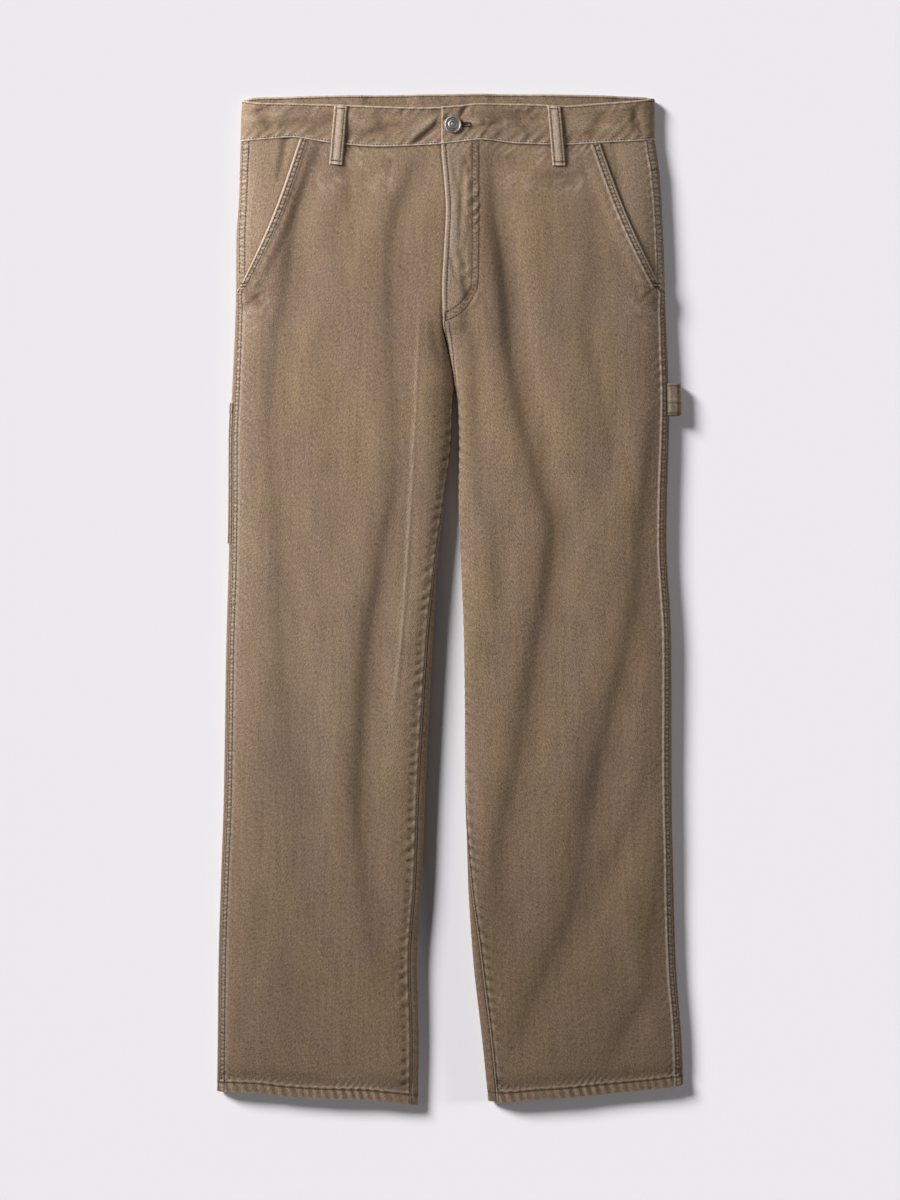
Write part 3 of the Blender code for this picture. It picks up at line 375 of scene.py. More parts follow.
HALVES = {side: cut_half(side) for side in SIGN}


def length_over(side, layer, y):
    """Length of the cloth from the outer edge to the inner end, over the front or the back."""
    return np.interp(y, LEVELS, HALVES[side][layer])


def sample(grid, y, share):
    """A value between the four nearest points of a grid of levels and even shares."""
    row = np.clip((y - LEVELS[0]) / LEVEL_STEP, 0.0, len(LEVELS) - 1.001)
    column = clipped(share) * (SAMPLES - 1)
    r = row.astype(int)
    c = np.minimum(column.astype(int), SAMPLES - 2)
    up = row - r
    along = column - c
    low = grid[r, c] * (1.0 - along) + grid[r, c + 1] * along
    high = grid[r + 1, c] * (1.0 - along) + grid[r + 1, c + 1] * along
    return low * (1.0 - up) + high * up


def rise(x, y, reach):
    """How far a level line is moved up or down to follow the waist, the seam and the hem."""
    over_front = smoothstep(-14.0, 6.0, reach)
    seam = read(WAIST_LINE, "back_seam", x) * (1.0 - over_front)
    seam = seam + read(WAIST_LINE, "front_seam", x) * over_front
    top = read(WAIST_LINE, "back_top", x) * (1.0 - over_front)
    top = top + read(WAIST_LINE, "front_top", x) * over_front
    share = clipped((y - WAIST_SEAM) / (BAND_TOP - WAIST_SEAM))
    waist = (seam + (top - seam) * share) * smoothstep(WAIST_SEAM - 110.0, WAIST_SEAM, y)
    hem = read(HEM_LINE, "rise", x) * (1.0 - smoothstep(HEM, HEM + 110.0, y))
    return waist + hem


def on_face(side, y, reach):
    """Points of the outer face. Past its inner end the reach runs on round the leg, or, above
    the crotch, across the centre onto the other half."""
    y, reach = together(y, reach)
    half = HALVES[side]
    front = length_over(side, "front", y)
    back = length_over(side, "back", y)
    leg = y < CROTCH
    reach = np.where(leg & (reach > front), reach - front - back, reach)
    reach = np.where(leg & (reach < -back), reach + front + back, reach)
    share = np.where(reach >= 0, reach / front, -reach / back)
    x = np.where(reach >= 0, sample(half["front_x"], y, share), sample(half["back_x"], y, share))
    z = np.where(reach >= 0, sample(half["front_z"], y, share), sample(half["back_z"], y, share))
    points = np.stack((x, y + rise(x, y, reach), z), axis=-1)
    across = ~leg & (reach > front)
    if across.any():
        other = OTHER[side]
        beyond = length_over(other, "front", y[across]) - (reach - front)[across]
        points[across] = on_face(other, y[across], beyond)
    return points


def outward(side, y, reach):
    """Unit normals out of the cloth, from the slope of the face along and across."""
    y, reach = together(y, reach)
    front = length_over(side, "front", y)
    back = length_over(side, "back", y)
    seat = y >= CROTCH
    past = seat & (reach > front)
    ahead = np.where(seat, np.minimum(reach + 1.0, front), reach + 1.0)
    behind = np.where(seat, np.maximum(reach - 1.0, -back), reach - 1.0)
    across = on_face(side, y, ahead) - on_face(side, y, behind)
    along = on_face(side, y + 2.0, reach) - on_face(side, y - 2.0, reach)
    normal = np.cross(across, along) * SIGN[side] * -1.0
    normal = normal / np.linalg.norm(normal, axis=-1, keepdims=True)
    if past.any():
        other = OTHER[side]
        beyond = length_over(other, "front", y[past]) - (reach - front)[past]
        normal[past] = outward(other, y[past], beyond)
    return normal


def placed(side, y, reach, out):
    """Points moved out from the face, or into the cloth where out is negative."""
    y, reach, out = together(y, reach, out)
    return on_face(side, y, reach) + outward(side, y, reach) * out[..., None]


def reach_at(side, y, x):
    """Reach over the front of the point that lies above x, found by halving the interval."""
    y, x = together(y, x)
    low = np.zeros_like(x)
    high = length_over(side, "front", y)
    for _ in range(26):
        middle = (low + high) / 2
        inside = SIGN[side] * (on_face(side, y, middle)[..., 0] - x) > 0
        low = np.where(inside, middle, low)
        high = np.where(inside, high, middle)
    return (low + high) / 2


def slant_x(y):
    """Distance of the slant pocket's edge from the middle of the body: a line with a slight bow."""
    share = (WAIST_SEAM - y) / (WAIST_SEAM - SLANT_TIP_Y)
    bow = 4.0 * np.sin(math.pi * clipped(share))
    return SLANT_TOP_X + (SLANT_TIP_X - SLANT_TOP_X) * share - bow


def front_edges(side, y):
    """Reach of a front panel's outer and inner edge at each height."""
    seam = read(LEGS[side], "side_seam", y) + SEAM_GAP / 2
    slant = reach_at(side, y, SIGN[side] * slant_x(y))
    start = np.where(y >= SLANT_TIP_Y, np.maximum(slant, seam), seam)
    end = length_over(side, "front", y) - read(LEGS[side], "inseam", y)
    end = end - np.where(y < CROTCH, SEAM_GAP / 2, 0.0)
    if side == "right":
        end = end + smoothstep(FLY_END + 2.0, FLY_END + 20.0, y) * FLY_UNDERLAP
    return start, end


def uneven(x, y, seed):
    """The cloth's slow unevenness: 26 plane waves of 30 to 170 mm, most of them running down the
    leg, each weaker the shorter it is."""
    draw = np.random.default_rng(seed)
    height = np.zeros_like(x)
    for _ in range(26):
        length = draw.uniform(30.0, 170.0)
        turn = draw.normal(0.0, 0.5)
        phase = draw.uniform(0.0, 2.0 * math.pi)
        along = x * math.cos(turn) + 0.6 * y * math.sin(turn)
        height += length / 170.0 * np.sin(2.0 * math.pi * along / length + phase)
    return height / 5.0


def strokes(x, y, lines):
    """Short creases: each a bell-shaped groove round a straight line, tapered at both ends."""
    height = np.zeros_like(x)
    for x_from, y_from, x_to, y_to, depth, width in lines:
        run = math.hypot(x_to - x_from, y_to - y_from)
        ahead = ((x - x_from) * (x_to - x_from) + (y - y_from) * (y_to - y_from)) / run ** 2
        aside = ((x - x_from) * (y_to - y_from) - (y - y_from) * (x_to - x_from)) / run
        taper = np.sqrt(clipped(4.0 * ahead * (1.0 - ahead)))
        height -= depth * taper * bell(aside, width)
    return height


def whiskers(side, x, y):
    """Faint worn hairlines: 64 thin strokes of 6 to 20 mm, two thirds of them leaning away from
    the fly under the waist seam, the others fanning out from the tip of the pocket mouth."""
    draw = np.random.default_rng(5)
    lines = []
    for count in range(64):
        at_tip = count % 3 == 2
        at_x = draw.uniform(190.0, 222.0) if at_tip else draw.uniform(60.0, 158.0)
        at_y = draw.uniform(290.0, 345.0) if at_tip else draw.uniform(440.0, 488.0)
        half = draw.uniform(3.0, 10.0)
        turn = draw.normal(0.75 if at_tip else -0.6, 0.25)
        step_x, step_y = SIGN[side] * half * math.cos(turn), -half * math.sin(turn)
        middle_x = SIGN[side] * at_x
        ends = (middle_x - step_x, at_y - step_y, middle_x + step_x, at_y + step_y)
        lines.append(ends + (-draw.uniform(0.3, 1.0), draw.uniform(1.3, 1.9)))
    return strokes(x, y, lines)


def puckers(run, gap, pitch, lean, fade, seed):
    """Waves along a seam: a sine of the run that leans with the gap from the seam, wanders in
    phase and strength, and dies away as exp(-gap / fade)."""
    wander = 1.6 * np.sin(run / 23.0 + seed) + 1.1 * np.sin(run / 41.0 + 2.3 * seed)
    wander = wander + 0.7 * np.sin(run / 9.0 + 5.1 * seed)
    strength = 0.62 + 0.38 * np.sin(run / 67.0 + seed) * np.sin(run / 17.0 + 3.0 * seed)
    wave = np.sin(2.0 * math.pi * (run + lean * gap) / pitch + wander)
    return wave * strength * np.exp(-np.abs(gap) / fade)


def rounded_rim(gap, radius):
    """How far a turned edge drops away over its last millimetres: a quarter round."""
    return -radius * (1.0 - rounded(gap, radius))


# The J of the fly: the two rows of stitches from the waist down and round to the fly's edge
FLY_ROWS = (
    (
        (23.8, 490), (23.8, 420), (23.4, 345), (20, 331), (10.8, 318.5), (1, 311), (-5.4, 308),
    ),
    (
        (30.8, 490), (30.8, 420), (30.2, 345), (26, 328), (16, 312), (4, 303), (-4.3, 299.7),
    ),
)


def smooth_path(points, step):
    """A Catmull-Rom curve through the points, at places about a step apart."""
    points = np.asarray(points, float)
    padded = np.concatenate((2 * points[:1] - points[1:2], points, 2 * points[-1:] - points[-2:-1]))
    parts = []
    for before, start, end, after in zip(padded[:-3], padded[1:-2], padded[2:-1], padded[3:]):
        count = max(2, int(np.linalg.norm(end - start) / step))
        t = np.linspace(0.0, 1.0, count, endpoint=False)[:, None]
        parts.append(0.5 * (
            2.0 * start + (end - before) * t
            + (2.0 * before - 5.0 * start + 4.0 * end - after) * t ** 2
            + (3.0 * start - before - 3.0 * end + after) * t ** 3
        ))
    return np.concatenate(parts + [points[-1:]])


def distance_to(x, y, path):
    """Distance from each place to a path: the least over its straight pieces."""
    nearest = np.full_like(x, 1e3)
    for (x_from, y_from), (x_to, y_to) in zip(path[:-1], path[1:]):
        span_x = x_to - x_from
        span_y = y_to - y_from
        t = ((x - x_from) * span_x + (y - y_from) * span_y) / (span_x ** 2 + span_y ** 2)
        t = clipped(t)
        nearest = np.minimum(nearest, np.hypot(x - x_from - t * span_x, y - y_from - t * span_y))
    return nearest


# Widths between the rows of stitches and how far each row lies from its edge
FELL_WIDTH = 7.4
MOUTH_WIDTH = 8.6
EDGE_ROW = 1.6
MOUTH_SHIFT = 1.2
HEM_ROW = 10.2
FLY_EDGE_ROW = 4.6
CROTCH_ROWS = (1.8, 6.6)
TURNED_EDGE = 0.9

# What differs between the sides: where puckers start, how worn each place is and how pale
# round the knee. The left side's seams and edges are painted paler, partly rubbed cloth and
# partly painted light that lifts them out of the lamp's shade, and the left leg is painted
# darker towards its hem, painted shade far from the lamp.
SIDES = {
    "right": {
        "seed": 0.7, "fell_line": 0.75, "rim": 0.5, "fell": 0.34, "mouth": 0.34, "knee": 0.10,
        "low_leg_painted_shade": 0.0, "dimples": 1.0,
    },
    "left": {
        "seed": 4.1, "fell_line": 1.05, "rim": 1.25, "fell": 0.62, "mouth": 0.36, "knee": 0.0,
        "low_leg_painted_shade": 0.14, "dimples": 0.45,
    },
}

# Darker places on the cloth: x, y, how wide, how tall and how strong. Most are less faded
# cloth by the loops, the fly and the pocket tips; the tall one at x 22, y 220, below the fly,
# is painted shade in the crotch.
PATCHES = (
    (-148, 478, 18, 12, 0.30), (-112, 466, 7, 12, 0.20), (146, 476, 18, 11, 0.26),
    (108, 470, 8, 10, 0.22), (20, 330, 8, 12, 0.30), (22, 220, 15, 78, 0.34),
    (34, 395, 7, 60, 0.14), (-213, 345, 11, 22, 0.22), (214, 348, 11, 22, 0.22),
    (12, 476, 18, 12, 0.18), (118, 452, 30, 6, 0.24),
)


def above_slant_tip(y):
    """1 along the pocket's mouth and 0 below its tip."""
    return smoothstep(SLANT_TIP_Y - 6.0, SLANT_TIP_Y + 2.0, y)


def fell_width(y):
    """Width of the felled band beside the side seam, and of the wider one along the mouth."""
    return FELL_WIDTH + (MOUTH_WIDTH - FELL_WIDTH) * above_slant_tip(y)


def edge_row(y):
    """How far the outer row of stitches lies from the side seam or the mouth."""
    return EDGE_ROW + MOUTH_SHIFT * above_slant_tip(y)


def marked(worn, deep, run, felled=0.0):
    """The four marks that the cloth's material reads, each a number on every point: worn makes
    the cloth paler, partly for rubbing and partly as painted light, and deep makes it darker,
    partly for less faded dye and partly as painted shade.
    """
    return {"worn": worn, "deep": deep, "felled": felled + 0.0 * deep, "run": run + 0.0 * deep}


def open_cloth(side, x, y, side_gap, inner_gap):
    """Creases, worn hairlines, slow unevenness and darker patches, away from the seams. The cloth
    is darker above the crotch; the grooves of the creases, the wall of each fold that faces away
    from the lamp and the left leg towards its hem get painted shade.
    """
    width = fell_width(y)
    creased = strokes(x, y, STROKES)
    pressed = fold_height(x, y, CREASES)
    hairlines = clipped(whiskers(side, x, y)) * smoothstep(width, width + 4.0, side_gap)
    quiet = smoothstep(0.0, 25.0, side_gap) * smoothstep(0.0, 30.0, inner_gap)
    height = pressed + creased + 0.55 * uneven(x, y, 11) * quiet + 0.25 * hairlines
    worn = 0.4 * hairlines + 0.4 * clipped(creased) + 0.9 * clipped(pressed) ** 2
    worn = worn + SIDES[side]["knee"] * bell(y + 60.0, 170.0)
    # Darker above the crotch, and painted shade in the grooves of the creases
    deep = 0.10 * smoothstep(180.0, 330.0, y) + 0.36 * clipped(-creased)
    # Painted shade on the wall of each fold that faces away from the lamp
    deep = deep + 0.10 * np.clip(-fold_height(x + 3.0, y, FOLDS), 0.0, 4.5)
    # Painted shade: the left leg darker towards its hem, far from the lamp
    deep = deep + SIDES[side]["low_leg_painted_shade"] * smoothstep(160.0, 360.0, -y)
    for patch_x, patch_y, wide, tall, strength in PATCHES:
        deep = deep + strength * bell(x - patch_x, wide) * bell(y - patch_y, tall)
    return height, worn, deep, 0.0


def at_side(side, y, mouth_gap, side_gap):
    """The felled side seam and the pocket's mouth: a raised band between two rows, with worn
    edges, rungs where the cloth draws between the rows, and puckers beside it. On the left side
    the edges are painted paler, partly rubbed cloth and partly painted light that lifts them out
    of the lamp's shade; the puckers' troughs are darker, partly less faded dye and partly painted
    shade."""
    wear_and_painted_light = SIDES[side]
    seed = wear_and_painted_light["seed"]
    above_tip = above_slant_tip(y)
    width = fell_width(y)
    row = edge_row(y)
    lift = LAP_LIFT * (1.0 - smoothstep(14.0, 26.0, mouth_gap))
    lift = lift * smoothstep(SLANT_TIP_Y - 26.0, SLANT_TIP_Y - 4.0, y)
    fell = 1.0 - smoothstep(width - 0.3, width + 1.1, side_gap)
    wave = puckers(y, np.maximum(side_gap - width, 0.0), 9.5, 0.8, 6.0, seed)
    wave = wave * smoothstep(0.0, 3.0, side_gap) * smoothstep(0.0, 10.0, WAIST_SEAM - y)
    wave = wave * smoothstep(HEM_HEIGHT, HEM_HEIGHT + 10.0, y - HEM)
    height = lift + 0.75 * fell + (0.34 - 0.08 * above_tip) * wave
    height = height + rounded_rim(side_gap, TURNED_EDGE)
    # Worn edges; on the left side also painted light, as that side lies in the lamp's shade
    rim = bell(side_gap - 0.3 - 0.5 * above_tip, 1.3 + 0.6 * above_tip)
    worn = wear_and_painted_light["fell_line"] * (1.0 - 0.6 * above_tip) * bell(side_gap - width - 0.4, 1.0)
    worn = worn + (wear_and_painted_light["rim"] + 0.9 * above_tip) * rim + 0.32 * clipped(wave)
    worn = worn + fell * (wear_and_painted_light["fell"] * (1.0 - 0.8 * above_tip) + wear_and_painted_light["mouth"] * above_tip)
    deep = 0.75 * (bell(side_gap - row, 0.8) + bell(side_gap - width + EDGE_ROW, 0.8))
    # Puckers' troughs darker: partly less faded dye, partly painted shade
    deep = deep + 0.28 * clipped(-wave)
    uneven_rungs = 0.18 + 0.24 * np.sin(y / 31.0 + seed) * np.sin(y / 13.0)
    felled = smoothstep(row - 0.2, row + 0.6, side_gap)
    felled = felled * (1.0 - smoothstep(width - 2.0, width - 1.2, side_gap))
    return height, worn, deep, felled * (1.0 - (1.0 - above_tip) * uneven_rungs)


def at_waist(side, x, waist_gap):
    """Puckers that hang from the waist seam, with troughs darker partly for less faded dye and
    partly as painted shade, and painted shade in the seam.
    """
    wave = puckers(x, waist_gap, 9.0, 0.9 * SIGN[side], 8.0, SIDES[side]["seed"] + 2.0)
    height = 0.45 * wave * smoothstep(0.0, 2.0, waist_gap)
    return height, 0.4 * clipped(wave), 0.3 * clipped(-wave) + 0.75 * bell(waist_gap, 1.7), 0.0


def at_hem(side, x, hem_gap):
    """The hem: folded cloth that is roped below its row of stitches and puckers above it. The
    troughs of both are darker, partly less faded dye and partly painted shade, and the dip above
    the hem gets painted shade.
    """
    seed = SIDES[side]["seed"] + 5.0
    in_hem = 1.0 - smoothstep(HEM_HEIGHT - 0.6, HEM_HEIGHT + 0.6, hem_gap)
    rope = puckers(x, hem_gap - HEM_ROW, 9.4, 0.3, 40.0, seed) * in_hem
    above = puckers(x, hem_gap - HEM_ROW, 7.4, -0.8, 12.0, seed) * (1.0 - in_hem)
    height = 0.35 * in_hem + 0.5 * rope * smoothstep(0.0, 3.0, hem_gap) + 0.45 * above
    height = height - 0.45 * bell(hem_gap - HEM_ROW, 0.9) - 1.1 * bell(hem_gap - 15.0, 8.0)
    worn = 0.85 * clipped(rope) + 1.3 * clipped(above - 0.12)
    worn = worn + 0.45 * bell(hem_gap - HEM_HEIGHT - 0.8, 0.9) + 0.4 * bell(hem_gap, 1.2)
    deep = 0.95 * bell(hem_gap - HEM_ROW, 1.1) + 0.95 * clipped(-rope)
    # Painted shade in the puckers' troughs and in the dip above the hem
    deep = deep + 0.3 * clipped(-above) + 0.14 * bell(hem_gap - 20.0, 9.0)
    return height, worn, deep, 0.0


def at_inseam(side, y, inner_gap):
    """The inseam: a worn raised rim, a groove, waves and a row of small dimples beside it. The
    waves' troughs are darker, partly less faded dye and partly painted shade, and the dimples get
    painted shade, more towards the hem.
    """
    seed = SIDES[side]["seed"]
    in_leg = 1.0 - smoothstep(CROTCH - 12.0, CROTCH, y)
    off_hem = smoothstep(HEM_HEIGHT, HEM_HEIGHT + 10.0, y - HEM)
    wave = puckers(y, np.maximum(inner_gap - 3.0, 0.0), 13.0, 0.6, 7.5, seed + 8.0)
    wave = wave * in_leg * off_hem * smoothstep(1.0, 3.5, inner_gap)
    dimples = clipped(np.sin(2.0 * math.pi * y / 10.5 + 1.4 * np.sin(y / 29.0 + seed))) ** 2
    dimples = dimples * bell(inner_gap - 8.6, 2.5) * in_leg * off_hem * SIDES[side]["dimples"]
    height = 0.55 * wave + 0.5 * bell(inner_gap, 2.6) * in_leg - 0.55 * dimples
    worn = 0.4 * clipped(wave) + 0.75 * bell(inner_gap - 0.3, 1.0) + 0.55 * bell(inner_gap - 4.4, 1.0)
    deep = in_leg * (1.1 * clipped(-wave) + 0.75 * bell(inner_gap - 2.0, 0.8))
    deep = deep + (0.8 + 0.5 * smoothstep(0.0, 300.0, -y)) * dimples
    return height + rounded_rim(inner_gap, TURNED_EDGE), in_leg * worn, deep, 0.0


def at_fly(x, y, inner_gap):
    """The fly of the left panel: lapped over the right one, crumpled within its curved double
    row, with a worn edge, and felled to the crotch below it. The crumples' troughs are darker,
    partly less faded dye and partly painted shade."""
    on_fly = smoothstep(FLY_END - 18.0, FLY_END, y)
    height = LAP_LIFT * (1.0 - smoothstep(17.0, 30.0, inner_gap)) * on_fly
    under_band = 1.5 + LAP_LIFT * smoothstep(17.0, 30.0, inner_gap)
    under_band = under_band * (1.0 - smoothstep(42.0, 68.0, inner_gap))
    height = height + under_band * smoothstep(WAIST_SEAM - 36.0, WAIST_SEAM, y)
    inside = smoothstep(-2.0, 2.0, 31.0 - x) * smoothstep(304.0, 314.0, y)
    wave = puckers(y, np.maximum(30.8 - x, 0.0), 17.0, 0.9, 12.0, SIDES["left"]["seed"] + 3.0)
    wave = wave * inside * (0.5 + 0.5 * np.sin(y / 19.0 + x / 7.0))
    height = height + 0.4 * inside + 1.2 * wave
    edges = 0.7 * bell(inner_gap - 1.0, 1.3) + 0.4 * bell(inner_gap - 6.6, 1.1)
    worn = 0.62 * clipped(wave) + on_fly * edges
    worn = worn + 0.26 * inside * (1.0 - smoothstep(6.0, 20.0, x))
    deep = 0.5 * clipped(-wave) + on_fly * 0.75 * bell(inner_gap - FLY_EDGE_ROW, 0.8)
    outer_row, inner_row = (distance_to(x, y, smooth_path(row, 12.0)) for row in FLY_ROWS)
    for row in (outer_row, inner_row):
        deep = deep + 0.75 * bell(row, 0.9)
        height = height - 0.35 * bell(row, 1.1)
    felled = smoothstep(1.0, 2.0, outer_row) * smoothstep(1.0, 2.0, inner_row)
    felled = felled * bell(outer_row - 3.5, 3.0) * bell(inner_row - 3.5, 3.0)
    seat = smoothstep(CROTCH, CROTCH + 4.0, y) * (1.0 - smoothstep(298.0, 304.0, y))
    height = height + 0.6 * seat * (1.0 - smoothstep(7.4, 8.6, inner_gap))
    worn = worn + seat * (0.5 * bell(inner_gap - 8.0, 1.0) + 0.4 * bell(inner_gap - 4.2, 1.4))
    for gap in CROTCH_ROWS:
        deep = deep + 0.55 * seat * bell(inner_gap - gap, 0.8)
    return height, worn, deep, felled


def beside_fly(x, y):
    """The right panel next to the fly: only the shade that the lapped edge throws on it."""
    shade = bell(x - read(CENTRE, "front", y) + 0.9, 1.1)
    return 0.0, 0.0, 0.75 * smoothstep(FLY_END - 18.0, FLY_END, y) * shade, 0.0


def front_surface(side, y, reach):
    """Points of a front panel's outer face, and its marks. Each place on the panel gives a
    height over the plain face, worn, deep and felled; all of them are added up."""
    y, reach = together(y, reach)
    start, end = front_edges(side, y)
    x = on_face(side, y, reach)[..., 0]
    slant = reach_at(side, y, SIGN[side] * slant_x(np.maximum(y, SLANT_TIP_Y)))
    side_gap = (reach - start) * (1.0 - 0.075 * above_slant_tip(y))
    inner_gap = end - reach
    zones = (
        open_cloth(side, x, y, side_gap, inner_gap),
        at_side(side, y, reach - slant, side_gap),
        at_waist(side, x, WAIST_SEAM - y),
        at_hem(side, x, y - HEM),
        at_inseam(side, y, inner_gap),
        at_fly(x, y, inner_gap) if side == "left" else beside_fly(x, y),
    )
    height, worn, deep, felled = (sum(parts) for parts in zip(*zones))
    points = on_face(side, y, reach) + outward(side, y, reach) * height[..., None]
    return points, marked(worn, deep, y, felled)


def places(low, high, near_low, near_high, fine, coarse):
    """Places from low to high, fine apart within near_low and near_high of the two ends and about
    coarse between, four steps at a time so that the under side can use every fourth."""
    first = 4 * math.ceil(near_low / fine / 4)
    last = 4 * math.ceil(near_high / fine / 4)
    middle = 4 * math.ceil((high - low - near_low - near_high) / coarse / 4)
    return np.concatenate((
        low + near_low * np.linspace(0.0, 1.0, first, endpoint=False),
        np.linspace(low + near_low, high - near_high, middle, endpoint=False),
        high - near_high * np.linspace(1.0, 0.0, last + 1),
    ))


def add_piece(name, points, faces, finish, sharp=None):
    """A smooth-shaded piece of one finish, from points in millimetres and faces, with an edge
    kept sharp where it turns by more degrees than sharp."""
    mesh = bpy.data.meshes.new(name)
    mesh.from_pydata(points * MILLIMETRE, [], faces)
    mesh.shade_smooth()
    if sharp:
        mesh.set_sharp_from_angle(angle=math.radians(sharp))
    mesh.materials.append(finish)
    piece = bpy.data.objects.new(name, mesh)
    bpy.context.scene.collection.objects.link(piece)
    return piece


def cloth(name, outer, under, across, along, marks, finish, coarse=4):
    """A closed thin sheet of an outer grid of points and an under grid that takes every coarse-th
    of them, joined along its four rims. across and along, in millimetres over the cloth, become
    its UV map in metres, and each of the marks becomes a number on every point."""
    rows, columns = outer.shape[:2]
    count = rows * columns
    below = under[::coarse, ::coarse]
    top = np.arange(count).reshape(rows, columns)
    deep = count + np.arange(below.shape[0] * below.shape[1]).reshape(below.shape[:2])
    quads = []
    for grid, order in ((top, 1), (deep, -1)):
        quad = np.stack((grid[:-1, :-1], grid[:-1, 1:], grid[1:, 1:], grid[1:, :-1]), axis=-1)
        quads.append(quad.reshape(-1, 4)[:, ::order])
    rims = []
    for upper, lower, order in (
        (top[0], deep[0], 1), (top[-1], deep[-1], -1), (top[:, 0], deep[:, 0], -1),
        (top[:, -1], deep[:, -1], 1),
    ):
        steps = np.arange(len(lower) - 1)
        runs = upper[steps[:, None] * coarse + np.arange(coarse, -1, -1)]
        rim = np.concatenate((runs, lower[steps, None], lower[steps + 1, None]), axis=1)
        rims.append(rim[:, ::order])
    facing = np.cross(outer[:-1, 1:] - outer[:-1, :-1], outer[1:, :-1] - outer[:-1, :-1])
    turn = 1 if np.sum(facing * (outer - under)[:-1, :-1]) > 0 else -1
    faces = [face for part in quads + rims for face in part[:, ::turn].tolist()]
    points = np.concatenate((outer.reshape(-1, 3), below.reshape(-1, 3)))
    piece = add_piece(name, points, faces, finish, sharp=60.0)
    mesh = piece.data

    def both(values):
        """Values on the outer grid and, behind them, those that the under grid shares."""
        values = values + 0.0 * outer[..., 0]
        return np.concatenate((values.ravel(), values[::coarse, ::coarse].ravel()))

    places_uv = np.stack((both(across), both(along)), axis=-1) * MILLIMETRE
    corner = np.empty(len(mesh.loops), int)
    mesh.loops.foreach_get("vertex_index", corner)
    mesh.uv_layers.new(name="cloth").data.foreach_set("uv", places_uv[corner].ravel())
    for mark, values in marks.items():
        mesh.attributes.new(mark, "FLOAT", "POINT").data.foreach_set("value", both(values))
    return piece


def laid(piece, node):
    """Hide the CAD node that a sheet stands in for, and hang the sheet from the body's root."""
    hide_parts(node)
    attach(piece, "root")


def add_node(tree, kind, inputs, **settings):
    """A shader node with its settings, each input set to a value or linked to a socket."""
    node = tree.nodes.new("ShaderNode" + kind)
    for setting, value in settings.items():
        setattr(node, setting, value)
    for socket, value in inputs.items():
        if isinstance(value, bpy.types.NodeSocket):
            tree.links.new(value, node.inputs[socket])
        else:
            node.inputs[socket].default_value = value
    return node


# The twill: how the threads turn, its ribs to a metre, and the tints of its clouds
TWILL_TURN = math.radians(28.0)
TWILL_RIBS = (3100.0, -2000.0, 0.0)
WARM_TINT = (1.020, 1.006, 0.925)
COOL_TINT = (1.004, 0.978, 1.030)


